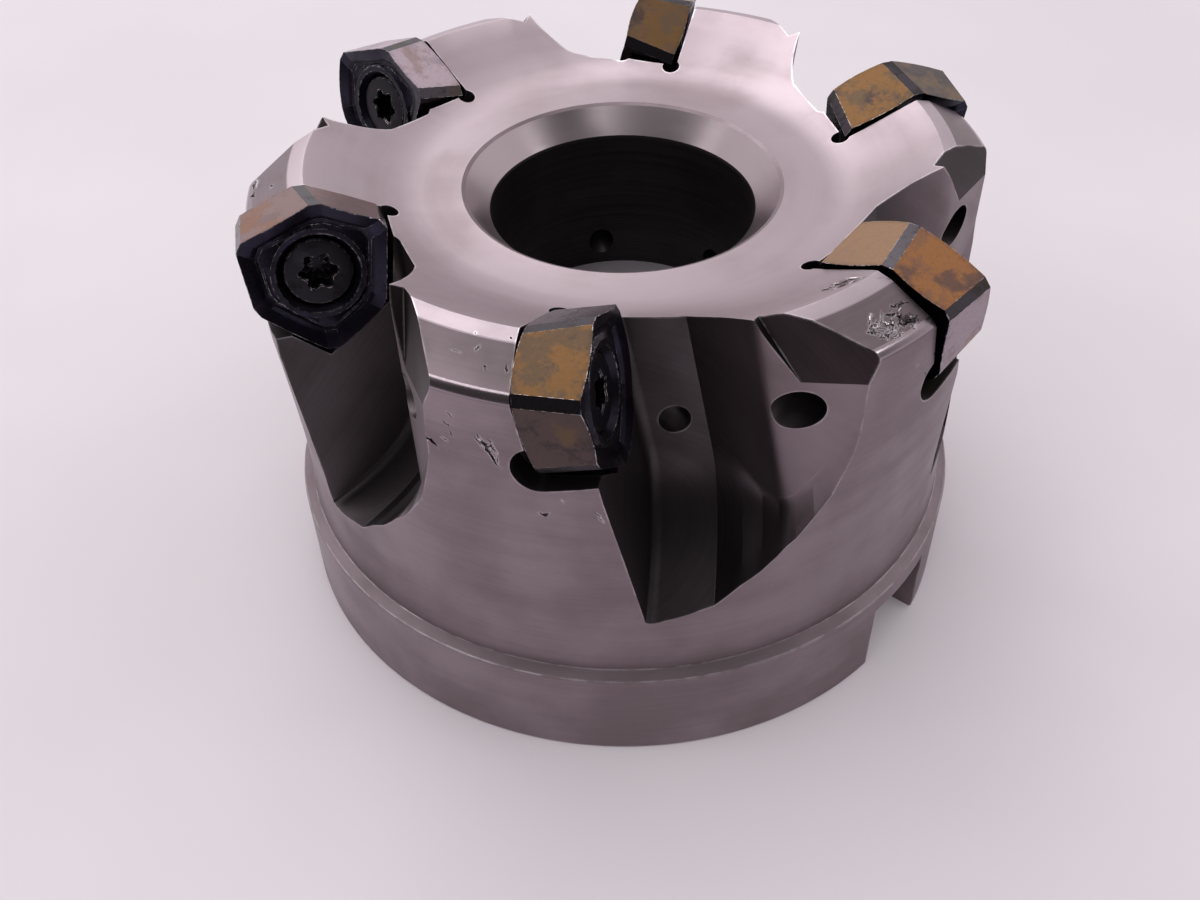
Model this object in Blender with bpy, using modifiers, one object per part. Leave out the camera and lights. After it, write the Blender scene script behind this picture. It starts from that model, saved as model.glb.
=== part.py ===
"""Shell-type face mill with six clamped double-sided inserts, standing on the back face of its hub.

The origin is the centre of the back face and +Z points to the cutting face. Sizes are in millimetres and become
metres where a mesh is finished or an empty is placed.

Each tooth has an empty turned to its azimuth, with x radial and y ahead, the way that the rake faces look. Below
it is the rake empty, in the middle of the rake face, with x outwards along it, y out of it and z up it. Tooth 6
stands nearest to -Y, and the others follow clockwise seen from above.
"""

import math

import bmesh
import bpy
from mathutils import Matrix, Vector

MM = 0.001
TEETH = 6
TOOTH_6_AZIMUTH = -97.75
FIT_GAP = 0.32
TURNED_STEPS = 96

# Body, turned
HUB_RADIUS = 38.0
HUB_RING_HEIGHT = 11.2
HUB_EDGE = 0.3
SHOULDER_RADIUS = 37.7
SHOULDER_BELOW_RIM = 2.4
SHOULDER_ROUND = 1.2
SHOULDER_TURN = 70.0
FACE_HEIGHT = 45.0
FACE_FLAT_RADIUS = 20.5
RIM_INSIDE_SHOULDER = 6.1
RIM_RISE = 4.4
RIM_LAND = 1.5
RIM_LAND_DROP = 0.35
PILOT_RADIUS = 13.5
PILOT_DEPTH = 20.0
MOUTH_CHAMFER = 0.8
SCREW_HOLE_RADIUS = 7.0
COUNTERBORE_RADIUS = 13.65
COUNTERBORE_DEPTH = 19.4
COUNTERBORE_CHAMFER = 2.5
COUNTERBORE_CHAMFER_DEPTH = 2.8

# Waist, as a share of the height from the hub ring to the shoulder and as the drop below the shoulder's radius
WAIST = ((0.015, 0.9), (0.08, 1.1), (0.2, 1.13), (0.31, 1.0), (0.45, 0.68), (0.59, 0.3), (0.69, 0.0))

# Dish of the face, as a share of the way out to the rim and of the rim's rise
FACE_DISH = ((0.75, 0.7), (0.54, 0.43), (0.36, 0.22), (0.18, 0.065), (0.0, 0.0))

# Drive slots across the back face, turned from tooth 6 into line with tooth 5
SLOT_WIDTH = 10.4
SLOT_DEPTH = 9.0
SLOT_TURN = 60.0

# Inserts: a threefold hexagon on both faces, each face turned a little against the other
INSERT_CORNERS = 6
INSERT_CORNER_RADIUS = 7.7
INSERT_CORNER_ALTERNATION = 0.07
INSERT_CORNER_ANGLE = 92.6
INSERT_BLUNT_TWIST = 4.2
INSERT_SHARP_TWIST = -2.2
INSERT_THICKNESS = 5.9
INSERT_CORNER_FLAT = 1.15
INSERT_SIDE_STEPS = 3
EDGE_BOW = 0.25
EDGE_LAND = 0.95
EDGE_LAND_DROP = 0.22
RECESS_WIDTH = 0.75
RECESS_DEPTH = 0.62
PLATEAU_WIDTH = 0.5
PLATEAU_DEPTH = 0.3
COUNTERSINK_RADIUS = 4.0
COUNTERSINK_SLOPE = 30.0
INSERT_HOLE_RADIUS = 2.75

# Where the middle of each rake face stands
RAKE_INSIDE_SHOULDER = 5.43
RAKE_AHEAD = 3.25
RAKE_BELOW_FACE = 0.9
AXIAL_TILT = 11.26
RADIAL_TILT = 4.65

# Insert screws
SCREW_STEPS = 24
SCREW_HEAD_RADIUS = 3.38
SCREW_HEAD_SUNK = 0.75
SCREW_HEAD_EDGE = 0.12
SCREW_NECK_RADIUS = 2.2
SCREW_NECK_END = 4.7
SCREW_THREAD_RADIUS = 1.73
SCREW_LENGTH = 12.6
SCREW_TIP = 0.5
SOCKET_OUTER = 1.82
SOCKET_INNER = 1.3
SOCKET_DEPTH = 1.9
SOCKET_LOBES = 6
SOCKET_STEPS = 24
TAPPED_HOLE_LENGTH = 26.0

# Gullet section
WALL_BEHIND_RAKE = 1.07
FLOOR_INSIDE = 8.05
FLOOR_FILLET = 1.15
FLOOR_WIDTH = 5.2
FLOOR_LEAN = 4.65
RISE_START = 13.0
RISE_END = 37.0
RISE_LENGTH = 6.95
RISE_STEPS = 5
BACK_ROUND = 1.8
BACK_ROUND_STEPS = 3
BACK_STATIONS = (15.0, 16.7, 18.3, 19.9, 22.0, 25.0)

# Run-out of the gullet: distance ahead of the rake face, how far below its middle the run-out starts and leaves
# the body, how far outwards it has gone by then, and the power that it goes out with
RUN_OUT = (
    (-1.07, 13.2, 26.3, 11.6, 2.2),
    (5.3, 13.2, 25.6, 9.6, 2.2),
    (7.8, 14.5, 24.1, 8.1, 2.0),
    (9.6, 17.0, 23.1, 6.3, 1.9),
    (11.5, 17.8, 21.7, 4.3, 1.4),
    (13.2, 16.6, 20.5, 2.7, 1.2),
    (16.7, 12.9, 16.7, 1.0, 1.2),
    (19.7, 9.5, 13.0, 0.7, 1.2),
    (25.0, 6.0, 10.0, 0.7, 1.2),
)
RUN_OUT_SHARES = (1 / 6, 1 / 3, 1 / 2, 2 / 3, 5 / 6, 1.0, 1.12)
RUN_OUT_END_DROP = 0.2

# Relieved flat on the back of each tooth, near the face
BACK_FLAT_FOOT = 1.2
BACK_FLAT_LEAN = 16.5
BACK_FLAT_SIDE = 15.7
BACK_FLAT_SIDE_LEAN = 36.0
BACK_FLAT_TURN = 3.5
BACK_FLAT_LOW = -4.0
BACK_FLAT_HIGH = 10.0
BACK_FLAT_REACH = 29.0

# Pocket
POCKET_AHEAD = 3.0
POCKET_OUT = 16.0
POCKET_UP = 14.0
OUTER_RELIEF_RADIUS = 2.0
OUTER_RELIEF_START = 3.0
OUTER_RELIEF_STEPS = 10
INNER_RELIEF_RADIUS = 0.95
INNER_RELIEF_INSIDE = 0.6
INNER_RELIEF_UP = 6.0
INNER_RELIEF_STEPS = 16

# Coolant hole, from the counterbore to the gullet floor
COOLANT_RADIUS = 1.45
COOLANT_AZIMUTH = 18.5
COOLANT_EXIT_BELOW_FACE = 10.4
COOLANT_EXIT_RADIUS = 25.6
COOLANT_ENTRY_ABOVE_FLOOR = 3.0
COOLANT_PAST_ENTRY = 1.6
COOLANT_PAST_EXIT = 3.0

STEEL = (0.30, 0.27, 0.27, 1.0)
CARBIDE = (0.05, 0.045, 0.06, 1.0)
SCREW_STEEL = (0.07, 0.065, 0.07, 1.0)


def clear_scene():
    """Removes the startup objects."""
    for obj in list(bpy.data.objects):
        bpy.data.objects.remove(obj, do_unlink=True)


def new_collection(name, holds_cutters=False):
    """A collection of the scene, left out of renders where it holds cutters."""
    collection = bpy.data.collections.new(name)
    bpy.context.scene.collection.children.link(collection)
    collection.hide_render = holds_cutters
    return collection


def new_material(name, color, metallic, roughness):
    """A Principled material."""
    material = bpy.data.materials.new(name)
    material.use_nodes = True
    material.diffuse_color = color
    shader = material.node_tree.nodes["Principled BSDF"]
    shader.inputs["Base Color"].default_value = color
    shader.inputs["Metallic"].default_value = metallic
    shader.inputs["Roughness"].default_value = roughness
    return material


def new_object(name, data, collection, parent=None):
    """An object in the frame of its parent."""
    obj = bpy.data.objects.new(name, data)
    obj.parent = parent
    collection.objects.link(obj)
    return obj


def new_cutter(name, mesh, collection, parent=None):
    """An object that only cuts."""
    cutter = new_object(name, mesh, collection, parent)
    cutter.hide_render = True
    cutter.display_type = "WIRE"
    return cutter


def finished(name, shape):
    """The mesh of a shape in millimetres, with its faces turned outwards and its round stretches smooth."""
    bmesh.ops.recalc_face_normals(shape, faces=shape.faces)
    bmesh.ops.scale(shape, vec=(MM, MM, MM), verts=shape.verts)
    mesh = bpy.data.meshes.new(name)
    shape.to_mesh(mesh)
    shape.free()
    mesh.shade_smooth()
    mesh.set_sharp_from_angle(angle=math.radians(25))
    return mesh


def extruded(name, outline, path):
    """A mesh that fills a flat outline and carries it along a path."""
    shape = bmesh.new()
    base = shape.faces.new([shape.verts.new(point) for point in outline])
    grown = bmesh.ops.extrude_face_region(shape, geom=[base])
    moved = [item for item in grown["geom"] if isinstance(item, bmesh.types.BMVert)]
    bmesh.ops.translate(shape, vec=path, verts=moved)
    return finished(name, shape)


def lofted(name, loops, ring=False):
    """A mesh through loops of equal length, capped at both ends or led back from the last loop to the first."""
    shape = bmesh.new()
    loops = [[shape.verts.new(point) for point in loop] for loop in loops]
    pairs = list(zip(loops, loops[1:]))
    if ring:
        pairs.append((loops[-1], loops[0]))
    else:
        shape.faces.new(loops[0])
        shape.faces.new(loops[-1])
    for here, there in pairs:
        for i in range(len(here)):
            j = (i + 1) % len(here)
            shape.faces.new((here[i], here[j], there[j], there[i]))
    return finished(name, shape)


def rod(name, start, end, radius, steps):
    """A round bar from start to end."""
    along = end - start
    place = Matrix.Translation((start + end) / 2) @ along.to_track_quat("Z", "Y").to_matrix().to_4x4()
    shape = bmesh.new()
    bmesh.ops.create_cone(
        shape, cap_ends=True, segments=steps, radius1=radius, radius2=radius, depth=along.length, matrix=place
    )
    return finished(name, shape)


def turned(obj, axis, steps):
    """Turns the profile in an object's mesh about one of its axes."""
    screw = obj.modifiers.new("turn", "SCREW")
    screw.axis = axis
    screw.steps = steps
    screw.render_steps = steps
    screw.use_merge_vertices = True
    screw.merge_threshold = 0.000001
    screw.use_normal_calculate = True


def profile_mesh(name, points, closed):
    """A mesh of edges only, through points in millimetres."""
    edges = [(i, i + 1) for i in range(len(points) - 1)]
    if closed:
        edges.append((len(points) - 1, 0))
    mesh = bpy.data.meshes.new(name)
    mesh.from_pydata([Vector(point) * MM for point in points], edges, [])
    return mesh


def cut(obj, name, operand):
    """Takes a cutter, or every cutter of a collection, out of an object."""
    boolean = obj.modifiers.new(name, "BOOLEAN")
    boolean.operation = "DIFFERENCE"
    boolean.solver = "EXACT"
    if isinstance(operand, bpy.types.Collection):
        boolean.operand_type = "COLLECTION"
        boolean.collection = operand
    else:
        boolean.object = operand


def tooth_azimuth(number):
    """Where a tooth stands, in degrees."""
    return TOOTH_6_AZIMUTH + (TEETH - number) * 360 / TEETH


def rake_frame():
    """The frame of a rake face within its tooth."""
    place = Vector((SHOULDER_RADIUS - RAKE_INSIDE_SHOULDER, RAKE_AHEAD, FACE_HEIGHT - RAKE_BELOW_FACE))
    turn = Matrix.Rotation(math.radians(-RADIAL_TILT), 4, "Z")
    tilt = Matrix.Rotation(math.radians(AXIAL_TILT), 4, "X")
    return Matrix.Translation(place) @ turn @ tilt


def add_frames(collection):
    """The tooth and rake empties, by number."""
    teeth, rakes = {}, {}
    for number in range(1, TEETH + 1):
        tooth = new_object(f"tooth_{number}", None, collection)
        tooth.rotation_euler.z = math.radians(tooth_azimuth(number))
        rake = new_object(f"rake_{number}", None, collection, tooth)
        frame = rake_frame()
        rake.rotation_euler = frame.to_euler()
        rake.location = frame.translation * MM
        teeth[number], rakes[number] = tooth, rake
    return teeth, rakes


def body_profile():
    """The section of the turned body, anticlockwise from the back face."""
    rim = FACE_HEIGHT + RIM_RISE
    rim_radius = SHOULDER_RADIUS - RIM_INSIDE_SHOULDER
    shoulder = rim - SHOULDER_BELOW_RIM
    outer = [
        (HUB_RADIUS - HUB_EDGE, 0, 0),
        (HUB_RADIUS, 0, HUB_EDGE),
        (HUB_RADIUS, 0, HUB_RING_HEIGHT - HUB_EDGE),
        (HUB_RADIUS - HUB_EDGE, 0, HUB_RING_HEIGHT),
    ]
    for share, drop in WAIST:
        outer.append((SHOULDER_RADIUS - drop, 0, HUB_RING_HEIGHT + (shoulder - HUB_RING_HEIGHT) * share))
    for step in range(5):
        angle = math.radians(SHOULDER_TURN) * step / 4
        back = SHOULDER_ROUND * (1 - math.cos(angle))
        outer.append((SHOULDER_RADIUS - back, 0, shoulder - SHOULDER_ROUND * (1 - math.sin(angle))))
    face = [(rim_radius + RIM_LAND, 0, rim - RIM_LAND_DROP), (rim_radius, 0, rim)]
    for share, rise in FACE_DISH:
        radius = FACE_FLAT_RADIUS + (rim_radius - FACE_FLAT_RADIUS) * share
        face.append((radius, 0, FACE_HEIGHT + RIM_RISE * rise))
    floor = FACE_HEIGHT - COUNTERBORE_DEPTH
    inside = [
        (COUNTERBORE_RADIUS + COUNTERBORE_CHAMFER, 0, FACE_HEIGHT),
        (COUNTERBORE_RADIUS, 0, FACE_HEIGHT - COUNTERBORE_CHAMFER_DEPTH),
        (COUNTERBORE_RADIUS, 0, floor),
        (SCREW_HOLE_RADIUS, 0, floor),
        (SCREW_HOLE_RADIUS, 0, PILOT_DEPTH),
        (PILOT_RADIUS, 0, PILOT_DEPTH),
        (PILOT_RADIUS, 0, MOUTH_CHAMFER),
        (PILOT_RADIUS + MOUTH_CHAMFER, 0, 0),
    ]
    return outer + face + inside


def gullet_section():
    """The gullet's section in the rake frame, as x and y, from the wall behind the insert to the far side."""
    floor, wall = -FLOOR_INSIDE, -WALL_BEHIND_RAKE
    points = [(SHOULDER_RADIUS, wall)]
    for step in range(4):
        angle = math.radians(30 * step)
        x = floor + FLOOR_FILLET * (1 - math.sin(angle))
        points.append((x, wall + FLOOR_FILLET * (1 - math.cos(angle))))
    lean = math.radians(FLOOR_LEAN)
    x, y = floor - FLOOR_WIDTH * math.tan(lean), wall + FLOOR_FILLET + FLOOR_WIDTH
    points.append((x, y))
    start, end = math.radians(RISE_START), math.radians(RISE_END)
    for step in range(RISE_STEPS):
        angle = start + (end - start) * (step + 0.5) / RISE_STEPS
        x += RISE_LENGTH / RISE_STEPS * math.sin(angle)
        y += RISE_LENGTH / RISE_STEPS * math.cos(angle)
        points.append((x, y))
    for step in range(BACK_ROUND_STEPS):
        angle = end - (end + lean) * (step + 0.5) / BACK_ROUND_STEPS
        x += BACK_ROUND / BACK_ROUND_STEPS * math.sin(angle)
        y += BACK_ROUND / BACK_ROUND_STEPS * math.cos(angle)
        points.append((x, y))
    for station in BACK_STATIONS:
        points.append((x - (station - y) * math.tan(lean), station))
    points.append((SHOULDER_RADIUS, BACK_STATIONS[-1]))
    return points


def run_out(y):
    """Start, end, reach and power of the run-out at a distance ahead, between the rows of RUN_OUT."""
    for here, there in zip(RUN_OUT, RUN_OUT[1:]):
        if y <= there[0]:
            share = max(0.0, (y - here[0]) / (there[0] - here[0]))
            return [a + (b - a) * share for a, b in zip(here[1:], there[1:])]
    return RUN_OUT[-1][1:]


def gullet():
    """The gullet in the rake frame: its section drawn down, then led outwards, each line of it in its own way."""
    columns = []
    outside = SHOULDER_RADIUS
    for x, y in gullet_section():
        start, leave, reach, power = run_out(y)
        moves = reach if x < outside else 0
        column = [(x, y, FACE_HEIGHT), (x, y, -start)]
        for share in RUN_OUT_SHARES:
            column.append((x + moves * share**power, y, -start - (leave - start) * share))
        column.append((outside, y, column[-1][2] - RUN_OUT_END_DROP))
        columns.append(column)
    return lofted("gullet", list(zip(*columns)))


def back_flat():
    """The relieved flat of the tooth ahead, in the tooth frame: a wedge carried up a slanting path."""
    back_x, back_y = gullet_section()[-3]
    back = (rake_frame() @ Vector((back_x, back_y, 0))).x
    lean = math.tan(math.radians(BACK_FLAT_LEAN))
    side_lean = math.tan(math.radians(BACK_FLAT_SIDE_LEAN))
    turn = math.tan(math.radians(BACK_FLAT_TURN))
    height = BACK_FLAT_HIGH - BACK_FLAT_LOW
    path = Vector((-lean * height, -side_lean * height, (1 - turn * side_lean) * height))
    inside, outside = back - lean * BACK_FLAT_LOW, back + 2 * SHOULDER_RADIUS
    near, far = BACK_FLAT_SIDE - side_lean * BACK_FLAT_LOW, BACK_FLAT_REACH
    outline = []
    for x, ahead in ((inside, near), (inside, far), (outside, far), (outside, near)):
        rise = BACK_FLAT_LOW + turn * (ahead - BACK_FLAT_SIDE)
        outline.append((x, RAKE_AHEAD + ahead, FACE_HEIGHT - BACK_FLAT_FOOT + rise))
    return extruded("back_flat", outline, path)


def polar(angle, radius):
    """A point of the rake plane, from an angle in degrees and a radius."""
    return Vector((math.cos(math.radians(angle)), math.sin(math.radians(angle)))) * radius


def insert_corners(front):
    """The corners of one face in the rake plane, clockwise from the one at the top."""
    corners = []
    side = 1 if front else -1
    for k in range(INSERT_CORNERS):
        blunt = k % 2 == 0
        twist = INSERT_BLUNT_TWIST if blunt else INSERT_SHARP_TWIST
        longer = -INSERT_CORNER_ALTERNATION if blunt else INSERT_CORNER_ALTERNATION
        angle = INSERT_CORNER_ANGLE - 360 / INSERT_CORNERS * k + side * twist
        corners.append(polar(angle, INSERT_CORNER_RADIUS * (1 + longer)))
    return corners


def meeting(first, second):
    """Where two lines, each a point and a direction, cross."""
    (start, along), (other, across) = first, second
    offset = other - start
    return start + along * (offset.cross(across) / along.cross(across))


def outwards(along, point):
    """The normal of a line that points the same way as a point seen from the middle."""
    normal = Vector((along.y, -along.x))
    return normal if normal.dot(point) > 0 else -normal


def insert_outline(front, inset=0.0):
    """Points round one face, each with its share of the edge's bow, with a flat across every corner."""
    corners = insert_corners(front)
    lines = []
    for start, end in zip(corners, corners[1:] + corners[:1]):
        along = (end - start).normalized()
        lines.append((start - outwards(along, start) * inset, along))
    points = []
    for k, line in enumerate(lines):
        before, after = lines[k - 1], lines[(k + 1) % INSERT_CORNERS]
        start = meeting(before, line) + line[1] * corner_cut(before, line)
        end = meeting(line, after) - line[1] * corner_cut(line, after)
        for step in range(INSERT_SIDE_STEPS + 1):
            share = step / INSERT_SIDE_STEPS
            points.append((start.lerp(end, share), 1 - (2 * share - 1) ** 2))
    return points


def corner_cut(before, after):
    """How far a corner's flat reaches along each of its sides."""
    return INSERT_CORNER_FLAT / 2 / math.cos(before[1].angle(after[1]) / 2)


def insert():
    """The insert in the rake frame: its front at y = 0, and the same face turned over behind it."""
    sink = (COUNTERSINK_RADIUS - INSERT_HOLE_RADIUS) / math.tan(math.radians(COUNTERSINK_SLOPE))
    rings = (
        (COUNTERSINK_RADIUS + PLATEAU_WIDTH, -PLATEAU_DEPTH),
        (COUNTERSINK_RADIUS, -PLATEAU_DEPTH),
        (INSERT_HOLE_RADIUS, -PLATEAU_DEPTH - sink),
    )
    loops = []
    for front in (True, False):
        rim = insert_outline(front)
        face = [[(point, EDGE_BOW * bow) for point, bow in rim]]
        face.append([(point, EDGE_BOW * bow - EDGE_LAND_DROP) for point, bow in insert_outline(front, EDGE_LAND)])
        face.append([(point, -RECESS_DEPTH) for point, bow in insert_outline(front, EDGE_LAND + RECESS_WIDTH)])
        for radius, level in rings:
            face.append([(point.normalized() * radius, level) for point, bow in rim])
        if front:
            loops.extend([[(point.x, level, point.y) for point, level in loop] for loop in reversed(face)])
        else:
            loops.extend([[(point.x, -INSERT_THICKNESS - level, point.y) for point, level in loop] for loop in face])
    return lofted("insert", loops, ring=True)


def pocket():
    """The insert's pocket in the rake frame: a seat and three walls, open outwards, upwards and ahead."""
    fronts, backs = insert_corners(True), insert_corners(False)
    walls = []
    for k in (4, 3, 2):
        ends = (fronts[k + 1], backs[k + 1], fronts[k], backs[k])
        along = (ends[2] + ends[3] - ends[0] - ends[1]).normalized()
        normal = outwards(along, ends[0])
        reach = max(point.dot(normal) for point in ends) + FIT_GAP
        walls.append((normal * reach, along))
    inner, low, outer = walls
    top = (Vector((0, POCKET_UP)), Vector((1, 0)))
    side = (Vector((POCKET_OUT, 0)), Vector((0, 1)))
    corners = (
        meeting(inner, top),
        meeting(inner, low),
        meeting(low, outer),
        meeting(outer, side),
        meeting(top, side),
    )
    seat = -INSERT_THICKNESS - EDGE_BOW - FIT_GAP
    return extruded("pocket", [(corner.x, seat, corner.y) for corner in corners], (0, POCKET_AHEAD - seat, 0))


def outer_relief():
    """The rounded relief below the insert in the rake frame, which opens on the outside of the body."""
    low = insert_corners(False)[2].y
    outline = [(OUTER_RELIEF_START, POCKET_AHEAD, low - OUTER_RELIEF_RADIUS)]
    for step in range(OUTER_RELIEF_STEPS + 1):
        angle = -math.pi / 2 - math.pi * step / OUTER_RELIEF_STEPS
        y = -INSERT_THICKNESS + OUTER_RELIEF_RADIUS * math.cos(angle)
        outline.append((OUTER_RELIEF_START, y, low + OUTER_RELIEF_RADIUS * math.sin(angle)))
    outline.append((OUTER_RELIEF_START, POCKET_AHEAD, low + OUTER_RELIEF_RADIUS))
    return extruded("outer_relief", outline, (POCKET_OUT - OUTER_RELIEF_START, 0, 0))


def inner_relief():
    """The round relief in the rake frame, where the seat meets the inner wall of the pocket."""
    low, high = insert_corners(False)[4], insert_corners(False)[5]
    along = (high - low).normalized()
    ends = []
    for point in (low + along * INNER_RELIEF_RADIUS, high + along * INNER_RELIEF_UP):
        ends.append(Vector((point.x - INNER_RELIEF_INSIDE, -INSERT_THICKNESS, point.y)))
    return rod("inner_relief", ends[0], ends[1], INNER_RELIEF_RADIUS, INNER_RELIEF_STEPS)


def coolant_hole():
    """The coolant hole in the tooth frame."""
    radial = polar(COOLANT_AZIMUTH, 1).to_3d()
    entry = radial * COUNTERBORE_RADIUS
    entry.z = FACE_HEIGHT - COUNTERBORE_DEPTH + COOLANT_ENTRY_ABOVE_FLOOR
    leave = radial * COOLANT_EXIT_RADIUS
    leave.z = FACE_HEIGHT - COOLANT_EXIT_BELOW_FACE
    along = (leave - entry).normalized()
    start, end = entry - along * COOLANT_PAST_ENTRY, leave + along * COOLANT_PAST_EXIT
    return rod("coolant_hole", start, end, COOLANT_RADIUS, SCREW_STEPS)


def tapped_hole():
    """The tapped hole of an insert screw in the rake frame, through the tooth."""
    start = Vector((0, POCKET_AHEAD - INSERT_THICKNESS, 0))
    end = Vector((0, -TAPPED_HOLE_LENGTH, 0))
    return rod("tapped_hole", start, end, SCREW_THREAD_RADIUS + FIT_GAP, SCREW_STEPS)


def screw_profile():
    """The section of an insert screw in the rake frame, from the top of its head down its axis."""
    head = -SCREW_HEAD_SUNK - SCREW_HEAD_EDGE
    cone = (SCREW_HEAD_RADIUS - SCREW_NECK_RADIUS) / math.tan(math.radians(COUNTERSINK_SLOPE))
    return [
        (0, -SCREW_HEAD_SUNK, 0),
        (SCREW_HEAD_RADIUS - SCREW_HEAD_EDGE, -SCREW_HEAD_SUNK, 0),
        (SCREW_HEAD_RADIUS, head, 0),
        (SCREW_NECK_RADIUS, head - cone, 0),
        (SCREW_NECK_RADIUS, -SCREW_NECK_END, 0),
        (SCREW_THREAD_RADIUS, -SCREW_NECK_END - SCREW_TIP, 0),
        (SCREW_THREAD_RADIUS, SCREW_TIP - SCREW_LENGTH, 0),
        (SCREW_THREAD_RADIUS - SCREW_TIP, -SCREW_LENGTH, 0),
        (0, -SCREW_LENGTH, 0),
    ]


def socket():
    """The six-lobe socket of an insert screw in the rake frame."""
    middle, swing = (SOCKET_OUTER + SOCKET_INNER) / 2, (SOCKET_OUTER - SOCKET_INNER) / 2
    outline = []
    for step in range(SOCKET_STEPS):
        angle = 360 * step / SOCKET_STEPS
        point = polar(angle, middle + swing * math.cos(math.radians(SOCKET_LOBES * angle)))
        outline.append((point.x, -SCREW_HEAD_SUNK - SOCKET_DEPTH, point.y))
    return extruded("socket", outline, (0, 2 * SOCKET_DEPTH, 0))


def drive_slots():
    """One bar through the hub for both drive slots."""
    size = Matrix.Diagonal((3 * HUB_RADIUS, SLOT_WIDTH, 2 * SLOT_DEPTH, 1))
    shape = bmesh.new()
    bmesh.ops.create_cube(shape, size=1, matrix=size)
    return finished("drive_slots", shape)


def add_body(parts, teeth, rakes):
    """The cutter body, with its gullets, pockets, holes and slots."""
    mesh = profile_mesh("cutter_body", body_profile(), closed=True)
    mesh.materials.append(new_material("cutter_steel", STEEL, 1.0, 0.38))
    body = new_object("cutter_body", mesh, parts)
    turned(body, "Z", TURNED_STEPS)
    kinds = (
        (gullet(), rakes),
        (back_flat(), teeth),
        (pocket(), rakes),
        (outer_relief(), rakes),
        (inner_relief(), rakes),
        (coolant_hole(), teeth),
        (tapped_hole(), rakes),
    )
    for cutter, frames in kinds:
        cutters = new_collection(f"{cutter.name}_cutters", holds_cutters=True)
        for number, frame in frames.items():
            new_cutter(f"{cutter.name}_{number}", cutter, cutters, frame)
        cut(body, cutter.name, cutters)
    slots = new_cutter("drive_slots", drive_slots(), new_collection("drive_slot_cutters", holds_cutters=True))
    slots.rotation_euler.z = math.radians(TOOTH_6_AZIMUTH + SLOT_TURN)
    cut(body, "drive_slots", slots)


def add_inserts(parts, rakes):
    """The inserts."""
    mesh = insert()
    mesh.materials.append(new_material("coated_carbide", CARBIDE, 0.6, 0.35))
    for number, rake in rakes.items():
        new_object(f"insert_{number}", mesh, parts, rake)


def add_screws(parts, rakes):
    """The insert screws, with their sockets."""
    mesh = profile_mesh("insert_screw", screw_profile(), closed=False)
    mesh.materials.append(new_material("screw_steel", SCREW_STEEL, 0.9, 0.4))
    cutter = socket()
    cutters = new_collection("socket_cutters", holds_cutters=True)
    for number, rake in rakes.items():
        screw = new_object(f"insert_screw_{number}", mesh, parts, rake)
        turned(screw, "Y", SCREW_STEPS)
        cut(screw, "socket", new_cutter(f"socket_{number}", cutter, cutters, rake))


def main():
    """Builds the face mill."""
    clear_scene()
    parts = new_collection("face_mill")
    teeth, rakes = add_frames(parts)
    add_body(parts, teeth, rakes)
    add_inserts(parts, rakes)
    add_screws(parts, rakes)


main()
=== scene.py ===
"""Looks of a shell-type face mill with six clamped inserts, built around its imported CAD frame.

Sizes are in millimetres until a mesh is finished. The rake frame of a tooth has x outwards along the rake
face, y out of it and z up it. Flanks and corners of an insert are counted clockwise from its top corner.
"""

import logging
import math
import random
from dataclasses import dataclass, field
from enum import Enum
from typing import Callable, Optional, Sequence, Union

import bmesh
import bpy
from mathutils import Matrix, Vector


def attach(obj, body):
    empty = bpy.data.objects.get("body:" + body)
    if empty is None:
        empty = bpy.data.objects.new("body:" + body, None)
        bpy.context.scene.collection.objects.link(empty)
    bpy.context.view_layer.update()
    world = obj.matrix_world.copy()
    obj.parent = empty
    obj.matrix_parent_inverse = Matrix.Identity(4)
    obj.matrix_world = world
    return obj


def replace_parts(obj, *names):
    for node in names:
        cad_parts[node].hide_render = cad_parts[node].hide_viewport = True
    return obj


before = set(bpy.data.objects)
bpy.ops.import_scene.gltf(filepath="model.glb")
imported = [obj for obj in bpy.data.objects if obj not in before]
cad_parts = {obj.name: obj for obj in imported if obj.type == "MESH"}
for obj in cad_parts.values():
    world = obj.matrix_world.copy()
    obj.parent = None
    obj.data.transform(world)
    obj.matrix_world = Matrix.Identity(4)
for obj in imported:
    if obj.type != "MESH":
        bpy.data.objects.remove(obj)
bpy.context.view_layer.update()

LOG = logging.getLogger("face_mill")
MM = 0.001
BODY = "root"
TEETH = 6
TOOTH_6_AZIMUTH = -97.75
FACE_HEIGHT = 45.0
SMOOTH_ANGLE = math.radians(12)
MERGE_DISTANCE = 0.0005
# Bright edge colour: partly wear on the metal, partly a painted highlight where rounded edges catch the
# light.
EDGE_WEAR_AND_HIGHLIGHT = (0.92, 0.86, 0.89, 1.0)
SCRATCH_COLOR = (0.62, 0.55, 0.58, 1.0)
DIRT_COLOR = (0.03, 0.025, 0.03, 1.0)

# Sockets of a Mix node that mixes colours, whose names stand there more than once.
MIX_SHARE, MIX_LOW, MIX_HIGH, MIX_RESULT = 0, 6, 7, 2

Color = tuple[float, float, float, float]
Number = Union[float, "Value"]
Points = Sequence[Vector]
Paint = Callable[[int, int], int]


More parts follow.
